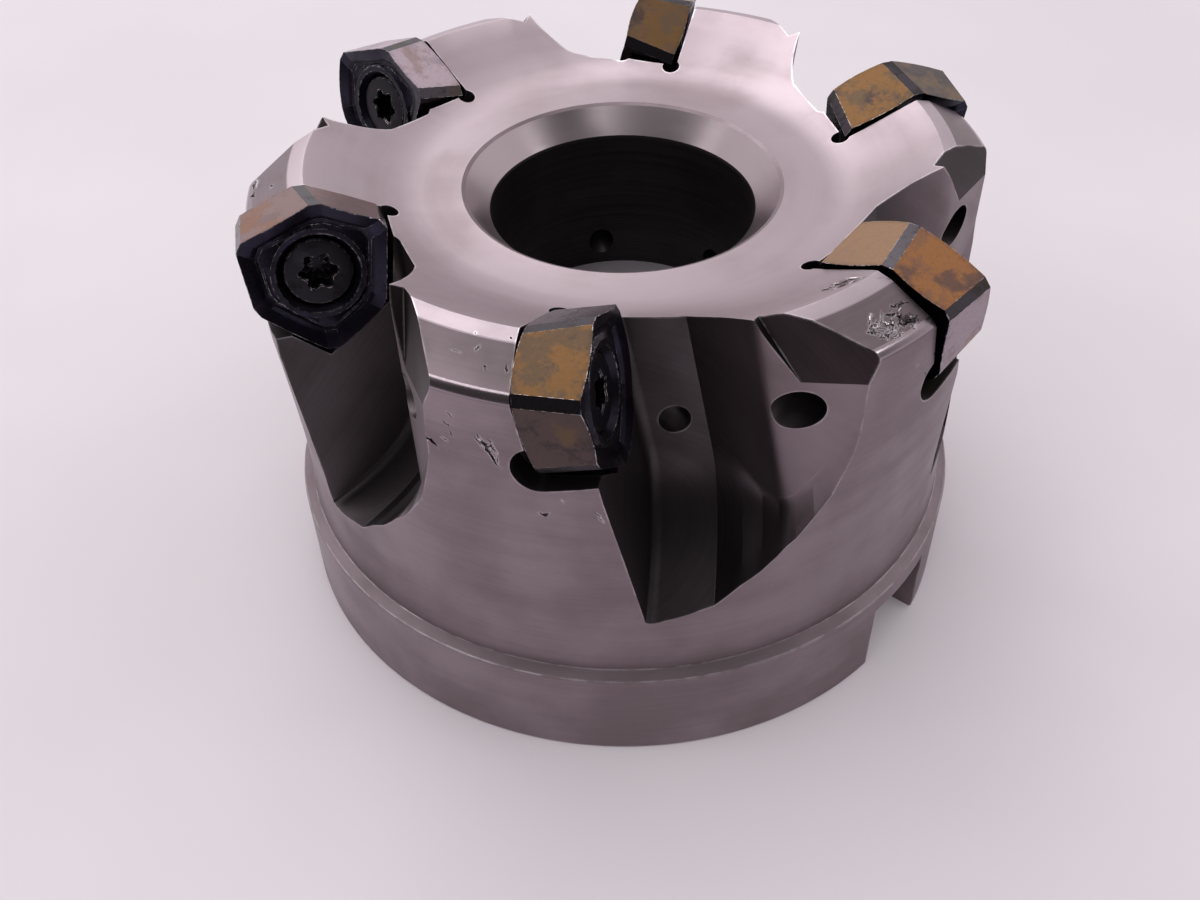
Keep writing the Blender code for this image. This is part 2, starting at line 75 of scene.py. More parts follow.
class Graph:
    """The node tree of one material or world."""

    def __init__(self, tree: bpy.types.NodeTree) -> None:
        """Empties the tree.

        Args:
            tree: The node tree to fill.
        """
        self.tree = tree
        self.tree.nodes.clear()

    def node(
        self,
        kind: str,
        settings: Optional[dict] = None,
        inputs: Optional[dict] = None,
        output: Union[int, str] = 0,
        stops: Sequence[tuple[float, Color]] = (),
    ) -> "Value":
        """Adds a node.

        Args:
            kind: The node's type, without its "ShaderNode".
            settings: Properties of the node, set before its sockets.
            inputs: Values or links by the name or number of a socket.
            output: The socket to return.
            stops: The stops of a colour ramp.

        Returns:
            The wanted output.
        """
        made = self.tree.nodes.new("ShaderNode" + kind)
        for name, setting in (settings or {}).items():
            setattr(made, name, setting)
        if stops:
            while len(made.color_ramp.elements) < len(stops):
                made.color_ramp.elements.new(1.0)
            for element, (place, color) in zip(made.color_ramp.elements, stops):
                element.position = place
                element.color = color
        for name, value in (inputs or {}).items():
            self.feed(made.inputs[name], value)
        return Value(self, made.outputs[output]) if made.outputs else Value(self, None)

    def feed(self, socket: bpy.types.NodeSocket, value: object) -> None:
        """Links or sets a socket.

        Args:
            socket: The input.
            value: A Value to link, or what the socket is set to.
        """
        if isinstance(value, Value):
            self.tree.links.new(value.socket, socket)
        else:
            socket.default_value = value

    def mix(self, share: Number, low: object, high: object) -> "Value":
        """A colour between two, by a share."""
        inputs = {MIX_SHARE: share, MIX_LOW: low, MIX_HIGH: high}
        return self.node("Mix", {"data_type": "RGBA"}, inputs, MIX_RESULT)

    def vector(self, x: Number, y: Number, z: Number) -> "Value":
        """A vector of three values."""
        return self.node("CombineXYZ", None, {0: x, 1: y, 2: z})

    def noise(self, vector: "Value", scale: float, detail: float = 3.0, rough: float = 0.55) -> "Value":
        """Noise around 0.5."""
        inputs = {"Vector": vector, "Scale": scale, "Detail": detail, "Roughness": rough}
        return self.node("TexNoise", None, inputs)

    def place(self) -> "Value":
        """The place on the object, in millimetres."""
        place = self.node("TexCoord", None, None, "Object")
        return self.node("VectorMath", {"operation": "SCALE"}, {0: place, "Scale": 1 / MM})

    def edges(self, radius: float, low: float, high: float) -> "Value":
        """Masks sharp edges.

        Args:
            radius: How far from an edge its mask reaches, in millimetres.
            low: How far the surface turns where the mask starts, as 1 minus the cosine.
            high: How far it turns where the mask is full.

        Returns:
            The mask.
        """
        rounded = self.node("Bevel", {"samples": 4}, {"Radius": radius * MM})
        straight = self.node("NewGeometry", None, None, "Normal")
        facing = self.node("VectorMath", {"operation": "DOT_PRODUCT"}, {0: rounded, 1: straight}, "Value")
        return (1 - facing).step(low, high)

    def surface(self, inputs: dict, height: "Value", strength: float, distance: float) -> None:
        """Ends a material.

        Args:
            inputs: The sockets of its Principled shader.
            height: The height that its Bump node takes.
            strength: The strength of the bump.
            distance: What a height of 1 stands for, in millimetres.
        """
        bump = {"Strength": strength, "Distance": distance * MM, "Height": height}
        inputs["Normal"] = self.node("Bump", None, bump)
        self.node("OutputMaterial", None, {"Surface": self.node("BsdfPrincipled", None, inputs)})


class Value:
    """A socket that Python arithmetic adds Math nodes to."""

    def __init__(self, graph: Graph, socket: Optional[bpy.types.NodeSocket]) -> None:
        """Keeps the socket with its graph.

        Args:
            graph: The graph that the socket is in.
            socket: An output socket.
        """
        self.graph = graph
        self.socket = socket

    def math(self, operation: str, *others: Number) -> "Value":
        """The result of a Math node whose first value is this one."""
        return self.graph.node("Math", {"operation": operation}, dict(enumerate((self, *others))))

    def __add__(self, other: Number) -> "Value":
        """This plus another."""
        return self.math("ADD", other)

    def __sub__(self, other: Number) -> "Value":
        """This minus another."""
        return self.math("SUBTRACT", other)

    def __rsub__(self, other: Number) -> "Value":
        """A number minus this."""
        return self.graph.node("Math", {"operation": "SUBTRACT"}, {0: other, 1: self})

    def __mul__(self, other: Number) -> "Value":
        """This times another."""
        return self.math("MULTIPLY", other)

    __radd__ = __add__
    __rmul__ = __mul__

    def step(self, low: float, high: float) -> "Value":
        """A smooth step from 0 at low to 1 at high."""
        limits = {"Value": self, "From Min": low, "From Max": high, "To Min": 0.0, "To Max": 1.0}
        return self.graph.node("MapRange", {"interpolation_type": "SMOOTHSTEP", "clamp": True}, limits)


@dataclass(frozen=True)
class Steel:
    """Machined tool steel.

    Attributes:
        name: Name of the material.
        color: Its clean colour.
        stain: The colour that old oil and oxide turn it to.
        rough: How matt it is.
        stained: Share of the surface that is stained.
        marks: Depth of the marks of the tool that cut it.
        wear_and_highlight: How bright its edges are, partly from wear and partly as a painted highlight.
        corner: A painted shade close to the gullet's corner, where the hollow lies in shade, if there is one.
        shade_fade: Where that painted shade starts and stops to thin out, as millimetres ahead and 0.3 of
            those up.
    """

    name: str
    color: Color
    stain: Color
    rough: float = 0.36
    stained: float = 0.3
    marks: float = 0.25
    wear_and_highlight: float = 0.6
    corner: Optional[Color] = None
    shade_fade: tuple[float, float] = (9.0, 20.0)

    def material(self) -> bpy.types.Material:
        """Makes the material of this finish.

        Returns:
            The material.
        """
        made = bpy.data.materials.new(self.name)
        made.use_nodes = True
        graph = Graph(made.node_tree)
        place = graph.place()
        flat = graph.node("VectorMath", {"operation": "MULTIPLY"}, {0: place, 1: (1, 1, 0)})
        radius = graph.node("VectorMath", {"operation": "LENGTH"}, {0: flat}, "Value")
        x, y, z = (graph.node("SeparateXYZ", None, {0: place}, k) for k in range(3))
        feed = radius + z * 0.93
        lines = graph.noise(graph.vector(feed * 4.2, x * 0.05, y * 0.05), 1.0, 4.0, 0.7) - 0.5
        bands = graph.noise(graph.vector(feed * 0.3, x * 0.04, y * 0.04), 1.0, 2.0)
        cloud = graph.noise(place, 0.085, 4.0, 0.5)
        grain = graph.noise(place, 2.6, 2.0, 0.6)
        # Patchy mask of the bright edges, which are partly wear and partly painted highlight.
        edge_patches = graph.noise(place, 0.35, 3.0, 0.6).step(0.36, 0.62)
        stain = (cloud + bands * 0.35).step(0.66 - self.stained * 0.4, 1.04 - self.stained * 0.4)
        speck = grain.step(0.66, 0.74)
        edge = graph.edges(0.3, 0.012, 0.08) * edge_patches * radius.step(20.0, 25.0)
        color = graph.mix(stain * 0.8 + speck * 0.12, self.color, self.stain)
        # Painted shade: the gullet darkens towards its corner behind the rake face and lower down, where the
        # hollow lies in shade.
        if self.corner:
            azimuth = y.math("ARCTAN2", x) * math.degrees(1)
            turn = (azimuth + (720 - TOOTH_6_AZIMUTH)).math("MODULO", 360 / TEETH)
            ahead = (turn * math.radians(1)).math("SINE") * radius
            color = graph.mix((ahead + z * 0.3).step(*self.shade_fade), self.corner, color)
        color = graph.mix(lines * self.marks + 0.03, color, SCRATCH_COLOR)
        # Bright edges: partly wear on the metal, partly a painted highlight along rounded edges.
        color = graph.mix(edge * self.wear_and_highlight, color, EDGE_WEAR_AND_HIGHLIGHT)
        rough = stain * 0.1 + lines * self.marks * 0.5 + grain * 0.08 + (self.rough - 0.04) - edge * 0.12
        inputs = {"Base Color": color, "Metallic": 1.0, "Roughness": rough}
        graph.surface(inputs, lines * self.marks + grain * 0.06, 0.18, 0.05)
        return made


class Finish(Enum):
    """The finishes of the cutter body; the pale seat carries painted light and the near-black bore carries
    painted shade.
    """

    TURNED = Steel(
        "turned_side",
        (0.28, 0.225, 0.246, 1),
        (0.185, 0.146, 0.154, 1),
        rough=0.4,
        stained=0.5,
        marks=0.2,
        wear_and_highlight=0.45,
    )
    SHOULDER = Steel(
        "rounded_shoulder",
        (0.36, 0.30, 0.325, 1),
        (0.30, 0.24, 0.26, 1),
        rough=0.2,
        stained=0.1,
        marks=0.06,
        wear_and_highlight=0.3,
    )
    FACE = Steel(
        "turned_face",
        (0.42, 0.345, 0.375, 1),
        (0.32, 0.255, 0.275, 1),
        rough=0.36,
        stained=0.25,
        marks=0.16,
        wear_and_highlight=0.9,
    )
    CHAMFER = Steel(
        "bore_chamfer",
        (0.44, 0.37, 0.395, 1),
        (0.36, 0.30, 0.32, 1),
        rough=0.3,
        stained=0.1,
        marks=0.1,
        wear_and_highlight=0,
    )
    RIM = Steel(
        "rim_land",
        (0.50, 0.42, 0.455, 1),
        (0.42, 0.35, 0.38, 1),
        rough=0.46,
        stained=0.2,
        marks=0.12,
        wear_and_highlight=0.9,
    )
    # Painted light: a pale, matt copy of the steel, so that the deep counterbore floor and the arbor hole
    # below it read lit.
    PAINTED_LIGHT_SEAT = Steel(
        "arbor_seat_painted_light",
        (0.80, 0.74, 0.78, 1),
        (0.62, 0.56, 0.60, 1),
        rough=0.75,
        stained=0.2,
        marks=0.1,
        wear_and_highlight=0,
    )
    # Painted shade: a near-black copy of the steel for the walls deep in the bores.
    PAINTED_SHADE_BORE = Steel(
        "counterbore",
        (0.045, 0.04, 0.042, 1),
        (0.02, 0.018, 0.018, 1),
        rough=0.45,
        stained=0.4,
        marks=0.1,
        wear_and_highlight=0.2,
    )
    HOLE = Steel(
        "drilled_hole",
        (0.13, 0.11, 0.118, 1),
        (0.08, 0.066, 0.07, 1),
        rough=0.4,
        stained=0.3,
        marks=0.1,
        wear_and_highlight=0.3,
    )
    GULLET_FLOOR = Steel(
        "gullet_floor",
        (0.06, 0.05, 0.053, 1),
        (0.035, 0.028, 0.028, 1),
        rough=0.42,
        stained=0.4,
        marks=0.05,
        wear_and_highlight=0.2,
    )
    GULLET_BACK = Steel(
        "gullet_back",
        (0.23, 0.185, 0.20, 1),
        (0.16, 0.125, 0.13, 1),
        rough=0.38,
        stained=0.35,
        marks=0.05,
        wear_and_highlight=0.25,
        # Painted shade deep in the gullet's corner.
        corner=(0.022, 0.018, 0.02, 1),
        shade_fade=(21.0, 33.0),
    )
    BACK_FLAT = Steel(
        "relieved_flat",
        (0.034, 0.024, 0.026, 1),
        (0.022, 0.015, 0.015, 1),
        rough=0.36,
        stained=0.4,
        marks=0.05,
        wear_and_highlight=0.7,
    )
    POCKET = Steel(
        "pocket",
        (0.05, 0.042, 0.044, 1),
        (0.025, 0.02, 0.02, 1),
        rough=0.45,
        stained=0.5,
        marks=0.1,
        wear_and_highlight=0.5,
    )
    GOUGE = Steel(
        "torn_metal",
        (0.15, 0.125, 0.135, 1),
        (0.02, 0.016, 0.017, 1),
        rough=0.26,
        stained=0.6,
        marks=0.1,
        wear_and_highlight=0.9,
    )
    BURR = Steel(
        "raised_burr",
        (0.42, 0.36, 0.385, 1),
        (0.16, 0.13, 0.14, 1),
        rough=0.24,
        stained=0.4,
        marks=0.1,
        wear_and_highlight=0.8,
    )


@dataclass(frozen=True)
class Tooth:
    """Where one tooth and its rake face stand.

    Attributes:
        number: The tooth's number, with 6 nearest to -Y and the others clockwise from it.
        radial: Distance of the rake face's middle from the axis.
        ahead: Its distance ahead of the radial line.
        below: Its distance below the face.
        axial_tilt: Lean of the rake face, in degrees.
        radial_tilt: Turn of the rake face, in degrees.
    """

    number: int
    radial: float = 32.27
    ahead: float = 3.25
    below: float = 0.9
    axial_tilt: float = 11.26
    radial_tilt: float = 4.65

    def frame(self) -> Matrix:
        """The tooth frame, with x radial and y ahead."""
        azimuth = TOOTH_6_AZIMUTH + (TEETH - self.number) * 360 / TEETH
        return Matrix.Rotation(math.radians(azimuth), 4, "Z")

    def rake_in_tooth(self) -> Matrix:
        """Places the rake frame within the tooth frame.

        Returns:
            The placement.
        """
        place = Matrix.Translation((self.radial, self.ahead, FACE_HEIGHT - self.below))
        turn = Matrix.Rotation(math.radians(-self.radial_tilt), 4, "Z")
        return place @ turn @ Matrix.Rotation(math.radians(self.axial_tilt), 4, "X")

    def rake(self) -> Matrix:
        """The rake frame."""
        return self.frame() @ self.rake_in_tooth()


class Solid:
    """A mesh in the making, in millimetres."""

    def __init__(self) -> None:
        """Starts an empty mesh."""
        self.mesh = bmesh.new()

    def loop(self, points: Points) -> list[bmesh.types.BMEdge]:
        """Adds a closed line.

        Args:
            points: Its points in order.

        Returns:
            Its edges.
        """
        verts = [self.mesh.verts.new(point) for point in points]
        return [self.mesh.edges.new((a, b)) for a, b in zip(verts, verts[1:] + verts[:1])]

    def bridge(self, first: list, second: list) -> list[bmesh.types.BMFace]:
        """Joins two closed lines of edges by faces, which it returns."""
        return bmesh.ops.bridge_loops(self.mesh, edges=first + second)["faces"]

    def loft(self, loops: Sequence[Points], paint: Optional[Paint] = None, capped: bool = True) -> "Solid":
        """Joins loops of equal length in order.

        Args:
            loops: Points of each loop.
            paint: Gives a face its material, from the number of its loop and of its place in it.
            capped: Whether both ends are filled, or the last loop joins the first.

        Returns:
            This solid.
        """
        lines = [self.loop(points) for points in loops]
        pairs = list(zip(lines, lines[1:]))
        if capped:
            for line in (lines[0], lines[-1]):
                self.mesh.faces.new([edge.verts[0] for edge in line])
        else:
            pairs.append((lines[-1], lines[0]))
        for ring, (here, there) in enumerate(pairs):
            places = {edge: k for k, edge in enumerate(here)}
            for face in self.bridge(here, there):
                for edge in face.edges:
                    if paint and edge in places:
                        face.material_index = paint(ring, places[edge])
        return self

    def extrude(self, outline: Points, path: Sequence[float]) -> "Solid":
        """Fills a flat outline and carries it along a path.

        Args:
            outline: Its points in order.
            path: How far it goes.

        Returns:
            This solid.
        """
        base = self.mesh.faces.new([self.mesh.verts.new(point) for point in outline])
        grown = bmesh.ops.extrude_face_region(self.mesh, geom=[base])["geom"]
        moved = [item for item in grown if isinstance(item, bmesh.types.BMVert)]
        bmesh.ops.translate(self.mesh, vec=path, verts=moved)
        return self

    def rod(self, start: Vector, end: Vector, radius: float, steps: int = 40) -> "Solid":
        """Adds a round bar.

        Args:
            start: Middle of its first end.
            end: Middle of its other end.
            radius: Its radius.
            steps: Steps round it.

        Returns:
            This solid.
        """
        along = end - start
        place = Matrix.Translation((start + end) / 2) @ along.to_track_quat("Z", "Y").to_matrix().to_4x4()
        bmesh.ops.create_cone(
            self.mesh,
            cap_ends=True,
            segments=steps,
            radius1=radius,
            radius2=radius,
            depth=along.length,
            matrix=place,
        )
        return self

    def spin(self, profile: Points, axis: Sequence[float], steps: int, closed: bool) -> "Solid":
        """Turns a profile about an axis through the origin.

        Args:
            profile: Its points in order.
            axis: The axis.
            steps: Steps of the full turn.
            closed: Whether the profile's last point joins its first.

        Returns:
            This solid.
        """
        verts = [self.mesh.verts.new(point) for point in profile]
        edges = [self.mesh.edges.new(pair) for pair in zip(verts, verts[1:])]
        if closed:
            edges.append(self.mesh.edges.new((verts[-1], verts[0])))
        bmesh.ops.spin(
            self.mesh,
            geom=verts + edges,
            cent=(0, 0, 0),
            axis=axis,
            angle=2 * math.pi,
            steps=steps,
            use_merge=True,
        )
        bmesh.ops.remove_doubles(self.mesh, verts=self.mesh.verts, dist=MERGE_DISTANCE)
        return self

    def piece(self, name: str, materials: Sequence[bpy.types.Material], place: Matrix) -> bpy.types.Object:
        """Finishes the mesh as an object at the origin.

        Args:
            name: Name of the object.
            materials: Its materials.
            place: Where the mesh stands.

        Returns:
            The object.
        """
        bmesh.ops.recalc_face_normals(self.mesh, faces=self.mesh.faces)
        if self.mesh.calc_volume(signed=True) < 0:
            bmesh.ops.reverse_faces(self.mesh, faces=self.mesh.faces)
        self.mesh.transform(Matrix.Scale(MM, 4) @ place)
        data = bpy.data.meshes.new(name)
        self.mesh.to_mesh(data)
        self.mesh.free()
        for material in materials:
            data.materials.append(material)
        made = bpy.data.objects.new(name, data)
        bpy.context.scene.collection.objects.link(made)
        smooth(data)
        return made


def smooth(data: bpy.types.Mesh) -> None:
    """Shades a mesh smooth but for its sharp edges."""
    data.shade_smooth()
    data.set_sharp_from_angle(angle=SMOOTH_ANGLE)


def combine(
    target: bpy.types.Object, tools: Sequence[bpy.types.Object], operation: str, solver: str = "EXACT"
) -> None:
    """Cuts tools out of an object or joins them to it, and removes them.

    Args:
        target: The object that changes.
        tools: The other objects.
        operation: The operation of the Boolean.
        solver: Its solver. EXACT leaves a tangle of joined tools open, and MANIFOLD closes it.
    """
    group = bpy.data.collections.new("tools")
    bpy.context.scene.collection.children.link(group)
    for tool in tools:
        group.objects.link(tool)
    boolean = target.modifiers.new("combine", "BOOLEAN")
    boolean.operation = operation
    boolean.solver = solver
    boolean.material_mode = "TRANSFER"
    boolean.operand_type = "COLLECTION"
    boolean.collection = group
    bpy.context.view_layer.update()
    solved = target.evaluated_get(bpy.context.evaluated_depsgraph_get())
    made = bpy.data.meshes.new_from_object(solved)
    target.modifiers.clear()
    target.data = made
    for tool in tools:
        bpy.data.objects.remove(tool)
    bpy.data.collections.remove(group)


def drop_crumbs(data: bpy.types.Mesh) -> None:
    """Removes all of a mesh but its largest connected part.

    Args:
        data: The mesh.
    """
    mesh = bmesh.new()
    mesh.from_mesh(data)
    left, largest = set(mesh.verts), set()
    while left:
        reached = [left.pop()]
        part = set(reached)
        while reached:
            for edge in reached.pop().link_edges:
                fresh = [vert for vert in edge.verts if vert not in part]
                part.update(fresh)
                reached += fresh
        left -= part
        largest = max(largest, part, key=len)
    bmesh.ops.delete(mesh, geom=[vert for vert in mesh.verts if vert not in largest], context="VERTS")
    mesh.to_mesh(data)
    mesh.free()


def polar(angle: float, radius: float) -> Vector:
    """A point of a plane, from an angle in degrees and a radius."""
    return Vector((math.cos(math.radians(angle)), math.sin(math.radians(angle)))) * radius


def meeting(first: tuple[Vector, Vector], second: tuple[Vector, Vector]) -> Vector:
    """Where two lines, each a point and a direction, cross."""
    (start, along), (other, across) = first, second
    return start + along * ((other - start).cross(across) / along.cross(across))


@dataclass(frozen=True)
class InsertForm:
    """The outline of a double-sided insert: a threefold hexagon whose faces are turned against each other.

    Attributes:
        corners: Number of corners.
        radius: Mean distance of the corners from the middle.
        alternation: How much nearer the blunt corners are and how much farther the sharp ones, as a share.
        top_angle: Direction of the first corner in the rake plane, in degrees.
        blunt_twist: How far a blunt corner of the front is turned, in degrees.
        sharp_twist: How far a sharp corner of the front is turned.
        thickness: Distance between the edges of both faces.
        corner_flat: Width of the flat across a corner.
        bow: How far the middle of an edge stands out of the face.
    """

    corners: int = 6
    radius: float = 7.7
    alternation: float = 0.07
    top_angle: float = 92.6
    blunt_twist: float = 4.2
    sharp_twist: float = -2.2
    thickness: float = 5.9
    corner_flat: float = 1.15
    bow: float = 0.25

    def corner(self, k: int, front: bool) -> Vector:
        """Finds a corner of one face.

        Args:
            k: Its number.
            front: Whether it is on the front face.

        Returns:
            The corner in the rake plane.
        """
        k %= self.corners
        blunt = k % 2 == 0
        twist = self.blunt_twist if blunt else self.sharp_twist
        longer = -self.alternation if blunt else self.alternation
        angle = self.top_angle - 360 / self.corners * k + (twist if front else -twist)
        return polar(angle, self.radius * (1 + longer))

    def side(self, k: int, front: bool, inset: float) -> tuple[Vector, Vector]:
        """Finds a side of one face.

        Args:
            k: Number of the corner that it starts at.
            front: Whether it is on the front face.
            inset: How far it is moved inwards.

        Returns:
            A point of it and its direction.
        """
        start, end = self.corner(k, front), self.corner(k + 1, front)
        along = (end - start).normalized()
        normal = Vector((along.y, -along.x))
        return start - normal * math.copysign(inset, normal.dot(start)), along

    def outline(self, front: bool, steps: int, inset: float = 0.0) -> list[tuple[Vector, float]]:
        """Draws a line round one face, with a flat across each corner.

        Args:
            front: Whether it is the front face.
            steps: Stretches along each side.
            inset: How far the line is moved inwards.

        Returns:
            Its points, each with its share of the side's bow.
        """
        points = []
        sides = [self.side(k, front, inset) for k in range(self.corners)]
        for k, line in enumerate(sides):
            before, after = sides[k - 1], sides[(k + 1) % self.corners]
            start = meeting(before, line) + line[1] * self.cut(before, line)
            end = meeting(line, after) - line[1] * self.cut(line, after)
            for step in range(steps + 1):
                share = step / steps
                points.append((start.lerp(end, share), 1 - (2 * share - 1) ** 2))
        return points

    def cut(self, before: tuple[Vector, Vector], after: tuple[Vector, Vector]) -> float:
        """How far a corner's flat reaches along each of its sides."""
        return self.corner_flat / 2 / math.cos(before[1].angle(after[1]) / 2)


@dataclass(frozen=True)
class Scar:
    """A gouge in the body, or a ridge of metal that a knock pushed up.

    Attributes:
        path: Azimuth, radius and height of points along it.
        slope: How far the surface faces up from the radial direction, in degrees.
        width: Its greatest width.
        depth: How deep it goes, or how high it stands.
        raised: Whether it stands on the surface.
    """

    path: tuple[tuple[float, float, float], ...]
    slope: float = 0.0
    width: float = 0.16
    depth: float = 0.1
    raised: bool = False

    def solid(self, seed: int) -> Solid:
        """Makes its ragged shape.

        Args:
            seed: Seed of its jitter.

        Returns:
            The shape.
        """
        stretches, spokes = 4, 7
        chance = random.Random(seed)
        knots = [polar(azimuth, radius).to_3d() + Vector((0, 0, z)) for azimuth, radius, z in self.path]
        line = [a.lerp(b, step / stretches) for a, b in zip(knots, knots[1:]) for step in range(stretches)]
        line.append(knots[-1])
        loops = []
        for k, point in enumerate(line):
            along = line[min(k + 1, len(line) - 1)] - line[max(k - 1, 0)]
            radial = point.xy.normalized().to_3d()
            slope = math.radians(self.slope)
            out = radial * math.cos(slope) + Vector((0, 0, math.sin(slope)))
            across = along.cross(out).normalized()
            size = math.sin(math.pi * (k + 0.4) / (len(line) - 0.2)) * chance.uniform(0.55, 1.15)
            middle = point + across * self.width * chance.uniform(-0.35, 0.35)
            loop = []
            for step in range(spokes):
                spoke = polar(360 / spokes * step, size * chance.uniform(0.7, 1.2))
                loop.append(middle + across * spoke.x * self.width / 2 + out * spoke.y * self.depth)
            loops.append(loop)
        return Solid().loft(loops)


SCARS: tuple[Scar, ...] = (
    Scar(
        ((-108.7, 37.7, 42.5), (-107.9, 37.7, 41.4), (-107.0, 37.7, 40.4), (-106.2, 37.7, 38.8)),
        0,
        0.75,
        0.4,
    ),
    Scar(((-107.6, 37.7, 42.3), (-106.9, 37.7, 41.3), (-106.2, 37.7, 40.4)), 0, 0.35, 0.2),
    Scar(((-109.3, 37.7, 42.0), (-108.4, 37.7, 40.9)), 0, 0.25, 0.2),
    Scar(((-117.2, 37.7, 40.5), (-116.1, 37.7, 40.0), (-115.0, 37.7, 39.4)), 0, 0.5, 0.3),
    Scar(((-113.0, 37.7, 44.1), (-112.2, 37.7, 43.4)), 0, 0.24, 0.14),
    Scar(((-113.6, 37.7, 42.9), (-112.8, 37.7, 42.4)), 0, 0.24, 0.14),
    Scar(((-114.3, 37.7, 40.9), (-113.3, 37.7, 40.5)), 0, 0.26, 0.14),
    Scar(((-112.9, 37.7, 41.9), (-112.5, 37.7, 41.3)), 0, 0.2, 0.12),
    Scar(((-101.4, 37.5, 34.2), (-100.5, 37.5, 33.8), (-99.7, 37.5, 34.2)), 0, 0.45, 0.25),
    Scar(((-98.3, 37.7, 36.2), (-97.4, 37.7, 35.7)), 0, 0.14, 0.1),
    Scar(((-94.0, 37.6, 35.0), (-93.2, 37.5, 34.2), (-92.6, 37.5, 33.2)), 0, 0.25, 0.15),
    Scar(((-110.7, 34.35, 48.37), (-110.4, 33.8, 48.66)), 62, 0.26, 0.16),
    Scar(((-108.8, 35.2, 47.87), (-108.2, 35.65, 47.63)), 62, 0.24, 0.14),
    Scar(((-105.9, 34.8, 48.08), (-105.4, 35.45, 47.74)), 62, 0.26, 0.16),
    Scar(((-114.5, 34.7, 48.13), (-112.5, 34.7, 48.13)), 62, 0.08, 0.05),
    Scar(((-106.6, 32.7, 49.12), (-106.1, 32.8, 49.1)), 77, 0.22, 0.12),
    Scar(((-111.9, 32.9, 49.07), (-111.6, 33.05, 49.02)), 77, 0.2, 0.1),
    Scar(((-175.6, 37.0, 46.85), (-174.4, 36.7, 46.98), (-173.0, 36.9, 46.9)), 62, 0.6, 0.35),
    Scar(((-175.2, 36.6, 47.1), (-173.9, 36.4, 47.2), (-172.6, 36.5, 47.15)), 62, 0.3, 0.35, True),
    Scar(((-171.8, 36.6, 47.05), (-170.9, 36.9, 46.9), (-170.1, 36.6, 47.05)), 62, 0.5, 0.3),
    Scar(((-170.7, 34.8, 48.08), (-169.7, 34.9, 48.03)), 62, 0.5, 0.25),
    Scar(
        ((-55.3, 29.8, 48.55), (-52.4, 30.0, 48.65), (-49.6, 30.4, 48.82), (-46.6, 31.85, 49.3)),
        100,
        0.5,
        0.3,
        True,
    ),
    Scar(
        ((-54.0, 30.5, 48.9), (-51.0, 30.9, 49.05), (-48.2, 31.5, 49.25), (-45.4, 32.9, 49.1)),
        95,
        0.3,
        0.22,
        True,
    ),
    Scar(((-47.4, 37.7, 43.1), (-46.5, 37.7, 42.4)), 0, 0.2, 0.12),
    Scar(((-45.1, 37.7, 41.4), (-44.2, 37.7, 40.7)), 0, 0.16, 0.1),
    Scar(((-43.6, 37.7, 43.0), (-42.9, 37.7, 42.4)), 0, 0.16, 0.1),
)


def torn(seed: int, count: int) -> list[Scar]:
    """Tangled gouges and ridges on the cone of tooth 5.

    Args:
        seed: Seed of their places.
        count: How many there are.

    Returns:
        The scars.
    """
    cone_radius, cone_height, cone_fall, cone_slope = 33.22, 48.98, 0.557, 62
    chance = random.Random(seed)
    scars = []
    for k in range(count):
        azimuth = -55.0 + 6.8 * chance.random()
        radius = 34.9 + 1.9 * (k + chance.random()) / count
        path = []
        for step in range(4):
            path.append((azimuth, radius, cone_height - cone_fall * (radius - cone_radius)))
            azimuth += chance.uniform(0.5, 1.1)
            radius = min(36.9, max(34.5, radius + chance.uniform(-0.55, 0.4)))
        raised = k % 2 == 1
        width, depth = chance.uniform(0.22, 0.4), 0.3 if raised else 0.24
        scars.append(Scar(tuple(path), cone_slope, width, depth, raised))
    return scars


